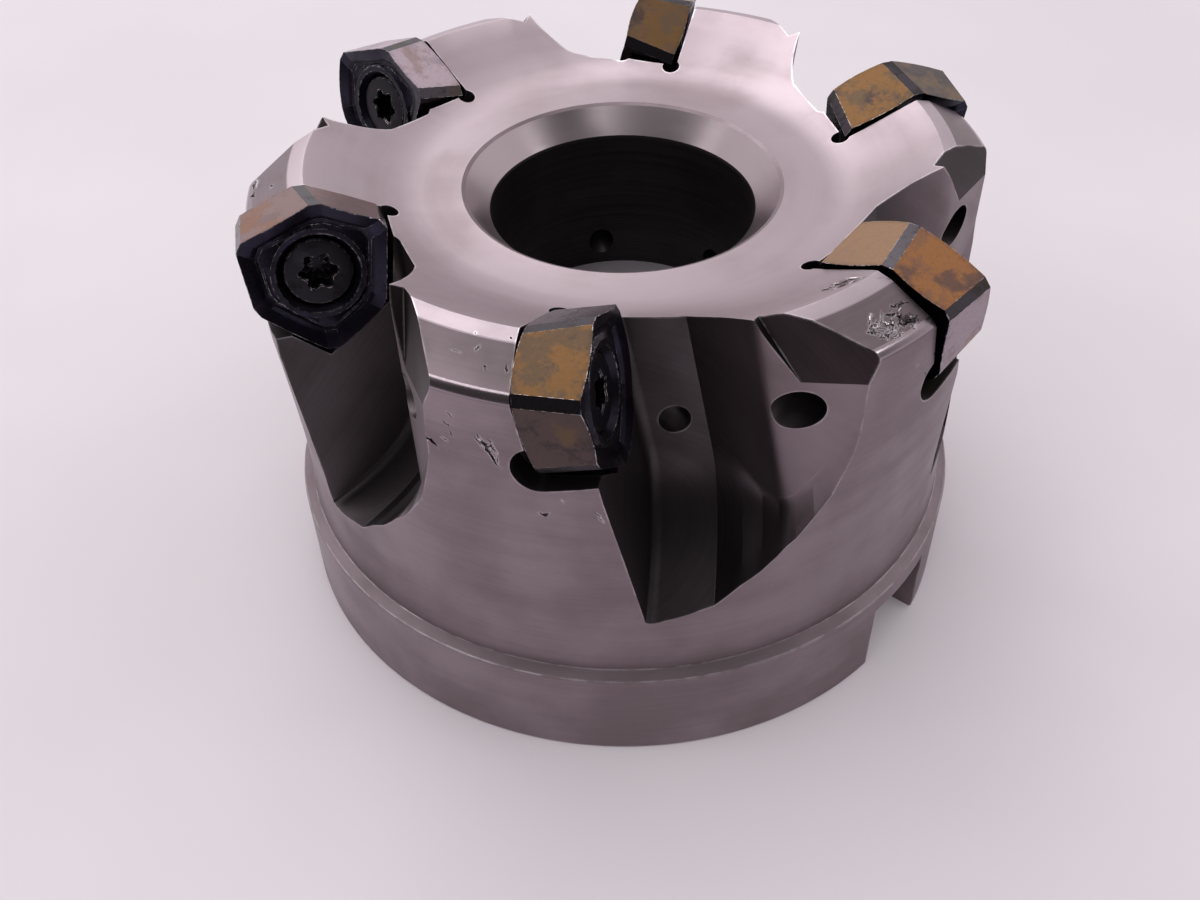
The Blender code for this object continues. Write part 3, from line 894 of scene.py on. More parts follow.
@dataclass
class CutterBody:
    """The turned and milled steel body.

    Attributes:
        steps: Steps of its full turn.
        gap: Clearance of the inserts and screws.
        hub_radius: Radius of the hub ring.
        hub_ring: Its height.
        shoulder_radius: Radius of the side below the rim.
        shoulder_drop: How far the shoulder lies below the rim.
        shoulder_round: Radius of its rounding.
        face_flat: Radius of the flat middle of the dish.
        rim_radius: Radius of the rim's inner edge.
        rim_rise: Height of the rim above the flat middle.
        bore_radius: Radius of the pilot bore in the back.
        bore_depth: Its depth.
        hole_radius: Radius of the arbor screw's hole.
        counterbore_radius: Radius of the counterbore in the face.
        counterbore_depth: Its depth.
        chamfer: Width of its chamfer.
        chamfer_depth: Depth of its chamfer.
        slot_width: Width of the drive slots.
        slot_depth: Their depth.
        slot_turn: Their turn from tooth 6, in degrees.
        wall: How far the gullet's floor lies behind the rake face.
        floor: How far the gullet's corner lies inside the middle of the rake face.
        fillet: Radius of that corner.
        floor_width: Width of the gullet's floor.
        floor_lean: Lean of the floor, in degrees.
        rise_angles: Lean of the concave rise at its start and end, in degrees.
        rise_length: Length of the rise.
        back_round: Length of the rounding above it.
        waist: Share of the side's height and how far it is turned in there, from the hub ring up.
        dish: Share of the dish's width and of the rim's rise, from the rim inwards.
        run_out: Distance ahead of the rake face, and there the start, end, reach and power of the run-out.
        coolant_azimuth: Azimuth of a coolant hole from its tooth, in degrees.
        coolant_exit: Radius that it comes out at.
        coolant_drop: How far below the face it comes out.
        coolant_radius: Its radius.
        insert: The form of the inserts that its pockets take.
    """

    steps: int = 240
    gap: float = 0.32
    hub_radius: float = 38.0
    hub_ring: float = 11.2
    shoulder_radius: float = 37.7
    shoulder_drop: float = 2.4
    shoulder_round: float = 1.2
    face_flat: float = 20.5
    rim_radius: float = 31.6
    rim_rise: float = 4.4
    bore_radius: float = 13.5
    bore_depth: float = 20.0
    hole_radius: float = 7.0
    counterbore_radius: float = 13.65
    counterbore_depth: float = 19.4
    chamfer: float = 2.5
    chamfer_depth: float = 2.8
    slot_width: float = 10.4
    slot_depth: float = 9.0
    slot_turn: float = 60.0
    wall: float = 1.07
    floor: float = 8.05
    fillet: float = 1.15
    floor_width: float = 5.2
    floor_lean: float = 4.65
    rise_angles: tuple[float, float] = (13.0, 37.0)
    rise_length: float = 6.95
    back_round: float = 1.8
    waist: tuple = (
        (0.015, 0.9),
        (0.08, 1.1),
        (0.2, 1.13),
        (0.31, 1.0),
        (0.45, 0.68),
        (0.59, 0.3),
        (0.69, 0.0),
    )
    dish: tuple = ((0.75, 0.7), (0.54, 0.43), (0.36, 0.22), (0.18, 0.065), (0.0, 0.0))
    run_out: tuple = (
        (-1.07, 13.2, 26.3, 11.6, 2.2),
        (5.3, 13.2, 25.6, 9.6, 2.2),
        (7.8, 14.5, 24.1, 8.1, 2.0),
        (9.6, 17.0, 23.1, 6.3, 1.9),
        (11.5, 17.8, 21.7, 4.3, 1.4),
        (13.2, 16.6, 20.5, 2.7, 1.2),
        (16.7, 12.9, 16.7, 1.0, 1.2),
        (19.7, 9.5, 13.0, 0.7, 1.2),
        (25.0, 6.0, 10.0, 0.7, 1.2),
    )
    coolant_azimuth: float = 18.5
    coolant_exit: float = 25.6
    coolant_drop: float = 10.4
    coolant_radius: float = 1.45
    insert: InsertForm = field(default_factory=InsertForm)

    def profile(self) -> list[Vector]:
        """Draws the section of the turned body.

        Returns:
            Its points, from the back outwards.
        """
        rim = FACE_HEIGHT + self.rim_rise
        shoulder = rim - self.shoulder_drop
        ring, hub, edge = self.hub_ring, self.hub_radius, 0.3
        points = [(hub - edge, 0), (hub - 0.09, 0.09), (hub, edge)]
        points += [(hub, ring - edge), (hub - 0.09, ring - 0.09), (hub - edge, ring)]
        for share, drop in self.waist:
            points.append((self.shoulder_radius - drop, ring + (shoulder - ring) * share))
        for step in range(9):
            angle = math.radians(70) * step / 8
            back = self.shoulder_round * (1 - math.cos(angle))
            drop = self.shoulder_round * (1 - math.sin(angle))
            points.append((self.shoulder_radius - back, shoulder - drop))
        points += [(self.rim_radius + 1.62, rim - 0.42), (self.rim_radius + 1.5, rim - 0.35)]
        points += [(self.rim_radius + 0.2, rim - 0.02), (self.rim_radius, rim)]
        points.append((self.rim_radius - 0.3, rim - 0.1))
        for share, rise in self.dish:
            radius = self.face_flat + (self.rim_radius - self.face_flat) * share
            points.append((radius, FACE_HEIGHT + self.rim_rise * rise))
        bottom, inner = FACE_HEIGHT - self.counterbore_depth, self.counterbore_radius
        points += [
            (inner + self.chamfer + 0.3, FACE_HEIGHT - 0.02),
            (inner + self.chamfer - 0.1, FACE_HEIGHT - 0.22),
            (inner + 0.1, FACE_HEIGHT - self.chamfer_depth + 0.16),
            (inner, FACE_HEIGHT - self.chamfer_depth - 0.1),
            (inner, bottom),
            (self.hole_radius + 0.4, bottom),
            (self.hole_radius, bottom - 0.4),
            (self.hole_radius, self.bore_depth),
            (self.bore_radius, self.bore_depth),
            (self.bore_radius, 0.8),
            (self.bore_radius + 0.8, 0),
        ]
        return [Vector((radius, 0, height)) for radius, height in points]

    def turned(self, materials: dict[Finish, bpy.types.Material]) -> bpy.types.Object:
        """Turns the body, with a finish for each of its surfaces.

        Args:
            materials: The material of each finish.

        Returns:
            The piece.
        """
        solid = Solid().spin(self.profile(), (0, 0, 1), self.steps, True)
        order = (
            Finish.TURNED,
            Finish.FACE,
            Finish.CHAMFER,
            Finish.RIM,
            Finish.PAINTED_SHADE_BORE,
            Finish.SHOULDER,
            Finish.PAINTED_LIGHT_SEAT,
        )
        shoulder = FACE_HEIGHT + self.rim_rise - self.shoulder_drop
        for face in solid.mesh.faces:
            middle = face.calc_center_median()
            radius = middle.xy.length
            # The counterbore's floor and the arbor hole below it take the pale copy that carries painted
            # light.
            if radius < self.counterbore_radius - 0.1 and middle.z > self.bore_depth:
                finish = Finish.PAINTED_LIGHT_SEAT
            # The walls of the counterbore and of the pilot bore take the near-black copy that carries painted
            # shade.
            elif radius < self.counterbore_radius + 0.05:
                finish = Finish.PAINTED_SHADE_BORE
            elif radius < self.counterbore_radius + self.chamfer and middle.z > self.hub_ring:
                finish = Finish.CHAMFER
            elif abs(radius - self.rim_radius - 0.8) < 0.9 and middle.z > FACE_HEIGHT:
                finish = Finish.RIM
            elif middle.z >= FACE_HEIGHT - 0.1 and radius < self.rim_radius:
                finish = Finish.FACE
            elif shoulder - 0.7 * self.shoulder_round < middle.z < shoulder:
                finish = Finish.SHOULDER
            else:
                finish = Finish.TURNED
            face.material_index = order.index(finish)
        return solid.piece("cutter_body_detailed", [materials[finish] for finish in order], Matrix())

    def section(self) -> tuple[list[tuple[float, float]], list[int]]:
        """Draws the gullet's section in the rake frame.

        Returns:
            Its points, and the finish of each stretch as 0 floor or 1 back.
        """
        points, finishes = [(self.shoulder_radius, -self.wall)], [0]
        for step in range(13):
            angle = math.radians(7.5 * step)
            x = -self.floor + self.fillet * (1 - math.sin(angle))
            points.append((x, -self.wall + self.fillet * (1 - math.cos(angle))))
            finishes.append(0)
        lean = math.radians(self.floor_lean)
        x = -self.floor - self.floor_width * math.tan(lean)
        y = -self.wall + self.fillet + self.floor_width
        points.append((x, y))
        start, end = (math.radians(angle) for angle in self.rise_angles)
        bends = ((10, self.rise_length, start, end), (6, self.back_round, end, -lean))
        for count, length, first, last in bends:
            for step in range(count):
                angle = first + (last - first) * (step + 0.5) / count
                x += length / count * math.sin(angle)
                y += length / count * math.cos(angle)
                points.append((x, y))
                finishes.append(1)
        for station in (15.0, 16.7, 18.3, 19.9, 22.0, 25.0):
            points.append((x - (station - y) * math.tan(lean), station))
            finishes.append(1)
        points.append((self.shoulder_radius, 25.0))
        return points, finishes + [1, 1]

    def run(self, y: float) -> list[float]:
        """Finds the gullet's run-out at one place of its section.

        Args:
            y: Distance ahead of the rake face.

        Returns:
            Its start, end, reach and power.
        """
        for here, there in zip(self.run_out, self.run_out[1:]):
            if y <= there[0]:
                share = max(0.0, (y - here[0]) / (there[0] - here[0]))
                return [a + (b - a) * share for a, b in zip(here[1:], there[1:])]
        return list(self.run_out[-1][1:])

    def gullet(self) -> Solid:
        """Makes the tool of a gullet.

        Returns:
            The tool in the rake frame.
        """
        rings = 15
        columns = []
        points, finishes = self.section()
        for x, y in points:
            start, leave, reach, power = self.run(y)
            reach = reach if x < self.shoulder_radius else 0
            column = [Vector((x, y, FACE_HEIGHT)), Vector((x, y, -start))]
            for step in range(1, rings + 1):
                share = 1.12 * step / rings
                column.append(Vector((x + reach * share**power, y, -start - (leave - start) * share)))
            column.append(Vector((self.shoulder_radius, y, column[-1].z - 0.2)))
            columns.append(column)
        return Solid().loft(list(zip(*columns)), lambda ring, place: finishes[place])

    def back_flat(self, tooth: Tooth) -> Solid:
        """Makes the tool of the relieved flat on the back of the tooth ahead.

        Args:
            tooth: The tooth behind the flat.

        Returns:
            The tool in the tooth frame.
        """
        x, y = self.section()[0][-2]
        back = (tooth.rake_in_tooth() @ Vector((x, y, 0))).x
        lean, side_lean, turn = (math.tan(math.radians(angle)) for angle in (16.5, 36.0, 3.5))
        low, height, side, far = -4.0, 14.0, 15.7, 29.0
        path = Vector((-lean * height, -side_lean * height, (1 - turn * side_lean) * height))
        inside, outside, near = back - lean * low, back + 2 * self.shoulder_radius, side - side_lean * low
        outline = []
        for x, ahead in ((inside, near), (inside, far), (outside, far), (outside, near)):
            z = FACE_HEIGHT - 1.2 + low + turn * (ahead - side)
            outline.append(Vector((x, tooth.ahead + ahead, z)))
        return Solid().extrude(outline, path)

    def pocket(self) -> Solid:
        """Makes the tool of an insert's pocket.

        Returns:
            The tool in the rake frame.
        """
        walls = []
        for k in (4, 3, 2):
            ends = [self.insert.corner(k + j, front) for j in (0, 1) for front in (True, False)]
            along = (ends[0] + ends[1] - ends[2] - ends[3]).normalized()
            normal = Vector((along.y, -along.x))
            normal = normal if normal.dot(ends[2]) > 0 else -normal
            walls.append((normal * (max(end.dot(normal) for end in ends) + self.gap), along))
        inner, low, outer = walls
        top, side = (Vector((0, 14)), Vector((1, 0))), (Vector((16, 0)), Vector((0, 1)))
        pairs = ((inner, top), (inner, low), (low, outer), (outer, side), (top, side))
        seat = -self.insert.thickness - self.insert.bow - self.gap
        outline = [Vector((corner.x, seat, corner.y)) for corner in (meeting(a, b) for a, b in pairs)]
        return Solid().extrude(outline, (0, 3 - seat, 0))

    def outer_relief(self) -> Solid:
        """Makes the tool of the rounded relief below an insert.

        Returns:
            The tool in the rake frame.
        """
        low, radius, start, steps = self.insert.corner(2, False).y, 2.4, 3.0, 20
        outline = [Vector((start, 3, low - radius))]
        for step in range(steps + 1):
            angle = -math.pi / 2 - math.pi * step / steps
            y = -self.insert.thickness + radius * math.cos(angle)
            outline.append(Vector((start, y, low + radius * math.sin(angle))))
        outline.append(Vector((start, 3, low + radius)))
        return Solid().extrude(outline, (13, 0, 0))

    def inner_relief(self) -> Solid:
        """Makes the tool of the round relief between the seat and the inner wall of a pocket.

        Returns:
            The tool in the rake frame.
        """
        low, high, radius = self.insert.corner(4, False), self.insert.corner(5, False), 0.95
        along = (high - low).normalized()
        ends = [low + along * radius, high + along * 6]
        ends = [Vector((point.x - 0.6, -self.insert.thickness, point.y)) for point in ends]
        return Solid().rod(ends[0], ends[1], radius)

    def coolant_hole(self) -> Solid:
        """Makes the tool of a coolant hole.

        Returns:
            The tool in the tooth frame.
        """
        radial = polar(self.coolant_azimuth, 1).to_3d()
        entry = radial * self.counterbore_radius
        entry.z = FACE_HEIGHT - self.counterbore_depth + 3
        leave = radial * self.coolant_exit
        leave.z = FACE_HEIGHT - self.coolant_drop
        along = (leave - entry).normalized()
        return Solid().rod(entry - along * 1.6, leave + along * 3, self.coolant_radius)

    def tapped_hole(self) -> Solid:
        """The tapped hole of an insert screw in the rake frame."""
        return Solid().rod(Vector((0, -2.9, 0)), Vector((0, -26, 0)), 1.73 + self.gap)

    def slots(self) -> Solid:
        """Makes the tool of both drive slots.

        Returns:
            One bar across the back.
        """
        solid = Solid()
        size = Matrix.Diagonal((3 * self.hub_radius, self.slot_width, 2 * self.slot_depth, 1))
        bmesh.ops.create_cube(solid.mesh, size=1, matrix=size)
        return solid

    def build(self) -> bpy.types.Object:
        """Builds the body, in place of its CAD node.

        Returns:
            The piece.
        """
        materials = {finish: finish.value.material() for finish in Finish}
        body = self.turned(materials)
        gullet = [materials[Finish.GULLET_FLOOR], materials[Finish.GULLET_BACK]]
        teeth = [Tooth(number) for number in range(1, TEETH + 1)]
        kinds = (
            (lambda tooth: self.gullet(), gullet, True),
            (self.back_flat, [materials[Finish.BACK_FLAT]], False),
            (lambda tooth: self.pocket(), [materials[Finish.POCKET]], True),
            (lambda tooth: self.outer_relief(), [materials[Finish.POCKET]], True),
            (lambda tooth: self.inner_relief(), [materials[Finish.POCKET]], True),
            (lambda tooth: self.coolant_hole(), [materials[Finish.HOLE]], False),
            (lambda tooth: self.tapped_hole(), [materials[Finish.HOLE]], True),
        )
        for make, finish, on_rake in kinds:
            places = [tooth.rake() if on_rake else tooth.frame() for tooth in teeth]
            tools = [make(tooth).piece("tool", finish, place) for tooth, place in zip(teeth, places)]
            combine(body, tools, "DIFFERENCE")
        turn = Matrix.Rotation(math.radians(TOOTH_6_AZIMUTH + self.slot_turn), 4, "Z")
        combine(body, [self.slots().piece("tool", [materials[Finish.TURNED]], turn)], "DIFFERENCE")
        scars = list(enumerate([*SCARS, *torn(5, 24)]))
        for finish, raised, operation, solver in (
            (Finish.GOUGE, False, "DIFFERENCE", "EXACT"),
            (Finish.BURR, True, "UNION", "MANIFOLD"),
        ):
            kept = [(seed, scar) for seed, scar in scars if scar.raised == raised]
            tools = [scar.solid(seed).piece("tool", [materials[finish]], Matrix()) for seed, scar in kept]
            combine(body, tools, operation, solver)
        drop_crumbs(body.data)
        smooth(body.data)
        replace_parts(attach(body, BODY), "cutter_body")
        return body


@dataclass(frozen=True)
class Coating:
    """The hard coating on one surface of an insert.

    Attributes:
        name: Name of the material.
        color: Its main colour.
        second: The colour of its clouds.
        heat: The colour that heat turned part of it to.
        clouded: Share that is clouded.
        heated: Share that is heated.
        rough: How matt it is.
        metallic: How metallic it is.
        wear_and_highlight: How bright its edges are, partly from wear and partly as a painted highlight.
    """

    name: str
    color: Color
    second: Color
    heat: Color
    clouded: float = 0.4
    heated: float = 0.2
    rough: float = 0.32
    metallic: float = 1.0
    wear_and_highlight: float = 0.7

    def material(self) -> bpy.types.Material:
        """Makes the material of this coating.

        Returns:
            The material.
        """
        made = bpy.data.materials.new(self.name)
        made.use_nodes = True
        graph = Graph(made.node_tree)
        place = graph.place()
        cloud = graph.noise(place, 0.33, 4.0, 0.62)
        fleck = graph.noise(place, 2.2, 3.0, 0.7)
        grain = graph.noise(place, 7.0, 2.0, 0.6)
        heat = graph.noise(place, 0.24, 3.0, 0.5) + fleck * 0.2
        heat = heat.step(0.78 - self.heated * 0.4, 0.9 - self.heated * 0.4)
        clouded = (cloud + fleck * 0.3).step(0.86 - self.clouded * 0.5, 0.98 - self.clouded * 0.5)
        edge = graph.edges(0.1, 0.008, 0.06) * graph.noise(place, 1.7, 3.0, 0.7).step(0.46, 0.58)
        border = graph.edges(0.9, 0.02, 0.16) * fleck.step(0.3, 0.62)
        color = graph.mix(clouded, self.color, self.second)
        color = graph.mix(heat * 0.85, color, self.heat)
        color = graph.mix(grain.step(0.56, 0.76) * 0.55 + border * 0.4, color, DIRT_COLOR)
        # Bright edges: partly chipped wear, partly a painted highlight along the insert's edges.
        color = graph.mix(edge * self.wear_and_highlight, color, EDGE_WEAR_AND_HIGHLIGHT)
        rough = clouded * 0.06 + fleck * 0.16 + (self.rough - 0.1) - edge * 0.1
        inputs = {"Base Color": color, "Metallic": self.metallic, "Roughness": rough}
        graph.surface(inputs, grain * 0.6 + fleck * 0.4, 0.12, 0.02)
        return made


class Surface(Enum):
    """The surfaces of the inserts and their screws, by how they look now."""

    RAKE = Coating(
        "black_rake",
        (0.024, 0.022, 0.033, 1),
        (0.016, 0.015, 0.02, 1),
        (0.034, 0.032, 0.055, 1),
        rough=0.4,
    )
    LAND = Coating(
        "edge_land",
        (0.028, 0.026, 0.042, 1),
        (0.02, 0.018, 0.026, 1),
        (0.04, 0.036, 0.07, 1),
        rough=0.32,
    )
    BRONZE = Coating(
        "bronze_flank",
        (0.21, 0.12, 0.055, 1),
        (0.17, 0.11, 0.07, 1),
        (0.09, 0.065, 0.065, 1),
        clouded=0.5,
        heated=0.3,
    )
    OCHRE = Coating(
        "ochre_flank",
        (0.135, 0.072, 0.032, 1),
        (0.10, 0.066, 0.043, 1),
        (0.05, 0.036, 0.038, 1),
        clouded=0.5,
        heated=0.35,
    )
    RUST = Coating(
        "rusty_flank",
        (0.36, 0.17, 0.075, 1),
        (0.29, 0.15, 0.09, 1),
        (0.15, 0.095, 0.085, 1),
        clouded=0.5,
        heated=0.25,
    )
    COPPER = Coating(
        "copper_flank",
        (0.30, 0.195, 0.19, 1),
        (0.24, 0.165, 0.165, 1),
        (0.30, 0.15, 0.09, 1),
        clouded=0.4,
        heated=0.35,
    )
    GOLD = Coating(
        "gold_flank",
        (0.35, 0.21, 0.125, 1),
        (0.31, 0.195, 0.13, 1),
        (0.24, 0.17, 0.16, 1),
        clouded=0.4,
        heated=0.1,
    )
    SILVER = Coating(
        "silver_flank",
        (0.28, 0.21, 0.245, 1),
        (0.23, 0.17, 0.19, 1),
        (0.26, 0.17, 0.15, 1),
        clouded=0.4,
        heated=0.2,
    )
    BRIGHT = Coating(
        "bright_flank",
        (0.50, 0.40, 0.45, 1),
        (0.40, 0.32, 0.36, 1),
        (0.36, 0.26, 0.26, 1),
        clouded=0.4,
        heated=0.2,
    )
    MAUVE = Coating(
        "mauve_flank",
        (0.085, 0.06, 0.056, 1),
        (0.056, 0.043, 0.044, 1),
        (0.12, 0.078, 0.045, 1),
        clouded=0.4,
        heated=0.35,
    )
    DARK = Coating(
        "dark_flank",
        (0.078, 0.068, 0.078, 1),
        (0.05, 0.042, 0.046, 1),
        (0.08, 0.06, 0.05, 1),
        clouded=0.4,
        heated=0.3,
        rough=0.26,
    )
    SCREW = Coating(
        "gunmetal_screw",
        (0.026, 0.024, 0.029, 1),
        (0.018, 0.016, 0.018, 1),
        (0.04, 0.036, 0.045, 1),
        rough=0.4,
    )


FLANKS: dict[int, tuple[Surface, ...]] = {
    1: (Surface.COPPER, Surface.SILVER, Surface.DARK, Surface.DARK, Surface.MAUVE, Surface.COPPER),
    2: (Surface.BRIGHT, Surface.SILVER, Surface.MAUVE, Surface.DARK, Surface.DARK, Surface.BRIGHT),
    3: (Surface.BRONZE, Surface.BRONZE, Surface.DARK, Surface.DARK, Surface.DARK, Surface.BRONZE),
    4: (Surface.OCHRE, Surface.MAUVE, Surface.DARK, Surface.DARK, Surface.DARK, Surface.OCHRE),
    5: (Surface.RUST, Surface.SILVER, Surface.MAUVE, Surface.DARK, Surface.DARK, Surface.GOLD),
    6: (Surface.OCHRE, Surface.MAUVE, Surface.DARK, Surface.DARK, Surface.DARK, Surface.DARK),
}


@dataclass
class Insert:
    """One double-sided insert.

    Attributes:
        tooth: The tooth that it is clamped to.
        form: Its outline.
        side_steps: Stretches along each side.
        face: Inset and level of each line from the edge into the face.
        eye: Radius and level of each ring round the hole.
    """

    tooth: Tooth
    form: InsertForm = field(default_factory=InsertForm)
    side_steps: int = 8
    face: tuple = (
        (0.0, -0.05),
        (0.04, -0.01),
        (0.95, -0.22),
        (1.12, -0.3),
        (1.42, -0.54),
        (1.7, -0.62),
        (1.9, -0.6),
    )
    eye: tuple = ((4.62, -0.36), (4.5, -0.3), (4.08, -0.3), (3.98, -0.34), (2.8, -2.38), (2.75, -2.5))

    def lines(self, front: bool) -> list[list[Vector]]:
        """Draws the lines of one face, from its edge to its hole.

        Args:
            front: Whether it is the front face.

        Returns:
            The points of each line.
        """
        lines = []
        for inset, level in self.face:
            outline = self.form.outline(front, self.side_steps, inset)
            bow = self.form.bow * max(0.0, 1 - inset / 1.7)
            lines.append([(point, level + bow * share) for point, share in outline])
        for radius, level in self.eye:
            lines.append([(point.normalized() * radius, level) for point, share in outline])
        back = -self.form.thickness
        return [[Vector((p.x, level if front else back - level, p.y)) for p, level in line] for line in lines]

    def build(self, materials: dict[Surface, bpy.types.Material]) -> bpy.types.Object:
        """Builds the insert, in place of its CAD node.

        Args:
            materials: The material of each surface.

        Returns:
            The piece.
        """
        flanks = FLANKS[self.tooth.number]
        order = [Surface.RAKE, Surface.LAND, Surface.DARK, *dict.fromkeys(flanks)]
        front, back = self.lines(True), self.lines(False)
        rim = len(front) - 1

        def paint(ring: int, place: int) -> int:
            """Chooses the surface of a face between two lines.

            Args:
                ring: Number of the first of the two lines.
                place: Number of the face along it.

            Returns:
                The surface's place in the order.
            """
            if ring == rim:
                side, step = divmod(place, self.side_steps + 1)
                return 2 if step == self.side_steps else order.index(flanks[side], 2)
            return 1 if abs(ring - rim) in (1, 2, 3) else 0

        solid = Solid().loft(front[::-1] + back, paint, capped=False)
        name = f"insert_{self.tooth.number}"
        piece = solid.piece(name + "_detailed", [materials[surface] for surface in order], self.tooth.rake())
        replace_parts(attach(piece, BODY), name)
        return piece


@dataclass
class InsertScrew:
    """One insert screw with a six-lobe socket.

    Attributes:
        tooth: The tooth that it is screwed into.
        profile: Radius and level of each point from the middle of its head down its axis.
        lobes: Number of lobes.
        outer: Radius of the socket at its lobes.
        inner: Its radius between them.
        depth: Its depth.
        sunk: How far below the edge of the insert its head lies.
    """

    tooth: Tooth
    profile: tuple = (
        (0.0, -0.75),
        (2.95, -0.75),
        (3.2, -0.8),
        (3.34, -0.92),
        (3.38, -1.05),
        (2.2, -3.0),
        (2.2, -4.7),
        (1.73, -5.2),
        (1.73, -12.1),
        (1.23, -12.6),
        (0.0, -12.6),
    )
    lobes: int = 6
    outer: float = 1.82
    inner: float = 1.3
    depth: float = 1.9
    sunk: float = 0.75

    def star(self, level: float, grow: float) -> list[Vector]:
        """Draws the socket's outline.

        Args:
            level: The level that it lies at.
            grow: How far it is grown outwards.

        Returns:
            Its points in the rake frame.
        """
        middle, swing = (self.outer + self.inner) / 2 + grow, (self.outer - self.inner) / 2
        points = []
        for angle in range(0, 360, 5):
            point = polar(angle, middle + swing * math.cos(math.radians(self.lobes * angle)))
            points.append(Vector((point.x, level, point.y)))
        return points

    def build(self, materials: dict[Surface, bpy.types.Material]) -> bpy.types.Object:
        """Builds the screw, in place of its CAD node.

        Args:
            materials: The material of each surface.

        Returns:
            The piece.
        """
        profile = [Vector((radius, level, 0)) for radius, level in self.profile]
        turned = Solid().spin(profile, (0, 1, 0), 64, False)
        name = f"insert_screw_{self.tooth.number}"
        piece = turned.piece(name + "_detailed", [materials[Surface.SCREW]], self.tooth.rake())
        top = -self.sunk
        bottom = top - self.depth
        levels = ((top + 1, 1.16), (top - 0.16, 0.0), (bottom, -0.02), (bottom - 0.3, -0.9))
        loops = [self.star(level, grow) for level, grow in levels]
        tool = Solid().loft(loops).piece("tool", [materials[Surface.SCREW]], self.tooth.rake())
        combine(piece, [tool], "DIFFERENCE")
        smooth(piece.data)
        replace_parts(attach(piece, BODY), name)
        return piece


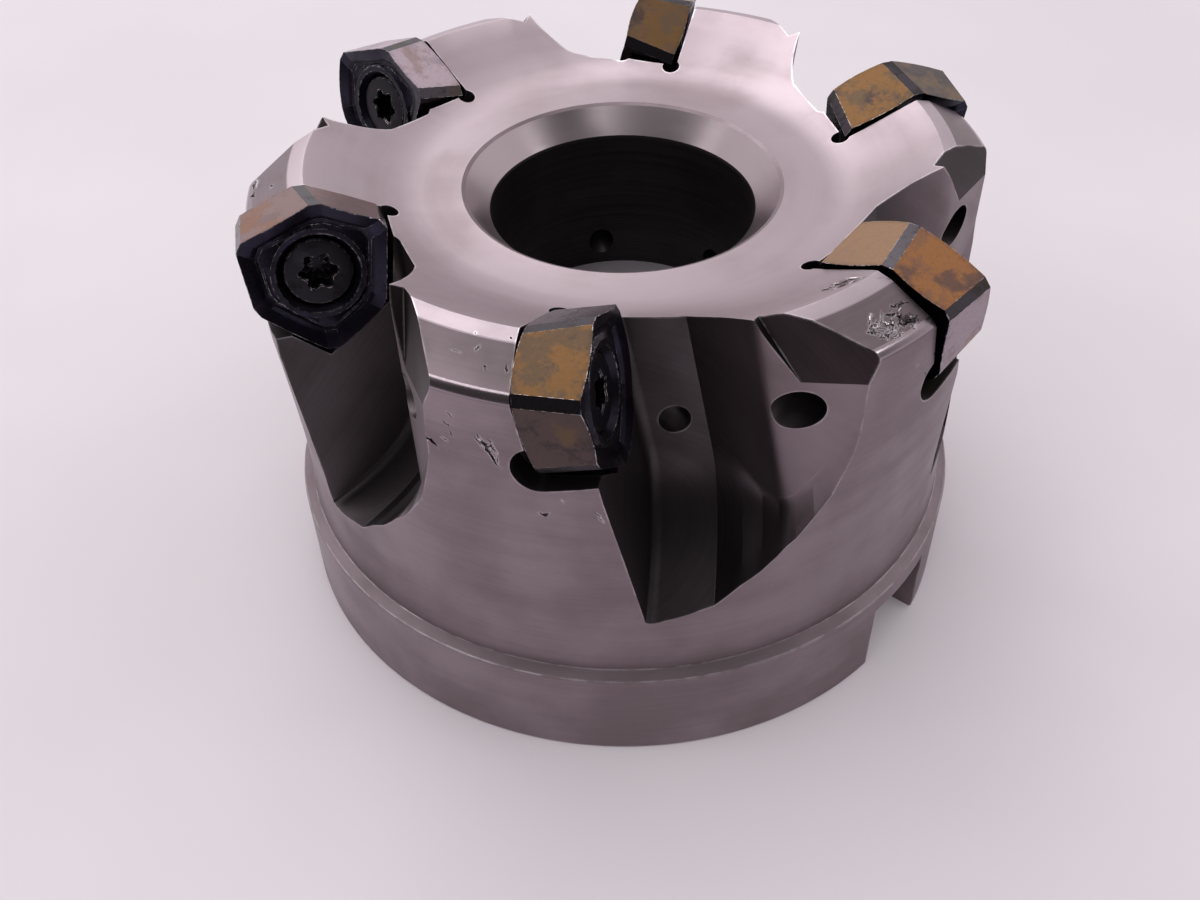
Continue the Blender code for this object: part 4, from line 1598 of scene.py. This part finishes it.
@dataclass
class Studio:
    """The floor, the light and the camera.

    Attributes:
        yaw: Turn of the camera about Z, in degrees.
        pitch: Its tilt.
        roll: Its roll.
        place: Where it stands, in metres.
        focal: Its focal length in pixels of the picture.
        picture_width: Width of the picture in pixels.
    """

    yaw: float = 1.444
    pitch: float = -43.079
    roll: float = 1.205
    place: tuple[float, float, float] = (0, -0.11402, 0.11376)
    focal: float = 1272.9
    picture_width: int = 1200

    def camera(self) -> None:
        """Adds the camera at the photograph's viewing angle."""
        turn = Matrix.Rotation(math.radians(self.yaw), 3, "Z")
        turn = turn @ Matrix.Rotation(math.radians(self.pitch), 3, "X")
        ahead, right, up = (turn @ Vector(axis) for axis in ((0, 1, 0), (1, 0, 0), (0, 0, 1)))
        roll = Matrix.Rotation(math.radians(self.roll), 3, ahead)
        data = bpy.data.cameras.new("camera")
        camera = bpy.data.objects.new("camera", data)
        camera.matrix_world = Matrix.Translation(self.place) @ (
            Matrix((roll @ right, roll @ up, -ahead)).transposed().to_4x4()
        )
        data.sensor_width = 36
        data.lens = self.focal * data.sensor_width / self.picture_width
        data.clip_start = 0.01
        bpy.context.scene.collection.objects.link(camera)
        bpy.context.scene.camera = camera

    def world(self) -> None:
        """Lights the object from behind and above, and leaves the side of the camera dim."""
        world = bpy.data.worlds.new("studio")
        world.use_nodes = True
        bpy.context.scene.world = world
        graph = Graph(world.node_tree)
        ray = graph.node("TexCoord", None, None, "Generated")
        y, z = (graph.node("SeparateXYZ", None, {0: ray}, k) for k in (1, 2))
        front = (0 - y * 0.9 + z * 0.25).step(-0.1, 0.5) * (z.step(-0.2, 0.1))
        kinds = ("Camera", "Glossy")
        shown, glossy = (graph.node("LightPath", None, None, f"Is {kind} Ray") for kind in kinds)
        strength = 0.78 + front * 0.12 + glossy * (0.08 - front * 0.92)
        light = graph.node("Background", None, {"Color": (1.0, 0.96, 0.98, 1), "Strength": strength})
        back = graph.node("Background", None, {"Color": (0.80, 0.78, 0.80, 1), "Strength": 1.0})
        both = graph.node("MixShader", None, {0: shown, 1: light, 2: back})
        graph.node("OutputWorld", None, {"Surface": both})

    def lamp(
        self, name: str, place: Sequence[float], size: tuple[float, float], power: float, matt: float
    ) -> None:
        """Adds a soft lamp that looks at the object.

        Args:
            name: Its name.
            place: Where it stands, in metres.
            size: Its sides, in metres.
            power: Its power, in watts.
            matt: Its share of light on matt surfaces.
        """
        data = bpy.data.lights.new(name, "AREA")
        data.shape = "RECTANGLE"
        data.size, data.size_y = size
        data.energy = power
        data.diffuse_factor = matt
        lamp = bpy.data.objects.new(name, data)
        lamp.location = place
        middle = Vector((0, 0, 0.03))
        lamp.rotation_euler = (Vector(place) - middle).to_track_quat("Z", "Y").to_euler()
        bpy.context.scene.collection.objects.link(lamp)

    def floor(self) -> None:
        """Adds the plain pale floor."""
        mesh = bmesh.new()
        bmesh.ops.create_grid(mesh, x_segments=8, y_segments=8, size=3)
        data = bpy.data.meshes.new("floor")
        mesh.to_mesh(data)
        mesh.free()
        material = bpy.data.materials.new("pale_floor")
        material.use_nodes = True
        graph = Graph(material.node_tree)
        cloth = graph.noise(graph.place(), 0.012, 3.0)
        color = graph.mix(cloth.step(0.3, 0.7), (0.69, 0.645, 0.685, 1), (0.73, 0.69, 0.725, 1))
        inputs = {"Base Color": color, "Roughness": 0.9, "Specular IOR Level": 0.1}
        graph.surface(inputs, graph.noise(graph.place(), 3.0), 0.05, 0.1)
        data.materials.append(material)
        floor = bpy.data.objects.new("floor", data)
        bpy.context.scene.collection.objects.link(floor)

    def build(self) -> None:
        """Sets up the studio."""
        bpy.context.scene.view_settings.view_transform = "Standard"
        self.camera()
        self.world()
        self.lamp("top_softbox", (-0.16, 0.3, 0.5), (0.4, 0.4), 0.95, 0.15)
        self.lamp("ceiling_strip", (-0.08, -0.13, 0.52), (0.6, 0.05), 0.28, 0.15)
        self.lamp("left_window", (-0.42, -0.05, 0.4), (0.07, 0.07), 0.07, 0.2)
        self.lamp("right_window", (0.42, -0.05, 0.4), (0.07, 0.07), 0.07, 0.2)
        self.floor()


def main() -> None:
    """Builds the looks of the face mill and reports each piece."""
    logging.basicConfig(level=logging.INFO, format="%(message)s")
    Studio().build()
    pieces = [CutterBody().build()]
    surfaces = {surface: surface.value.material() for surface in Surface}
    for number in range(1, TEETH + 1):
        pieces.append(Insert(Tooth(number)).build(surfaces))
        pieces.append(InsertScrew(Tooth(number)).build(surfaces))
    for piece in pieces:
        LOG.info("%s: %d faces", piece.name, len(piece.data.polygons))


if __name__ == "__main__":
    main()
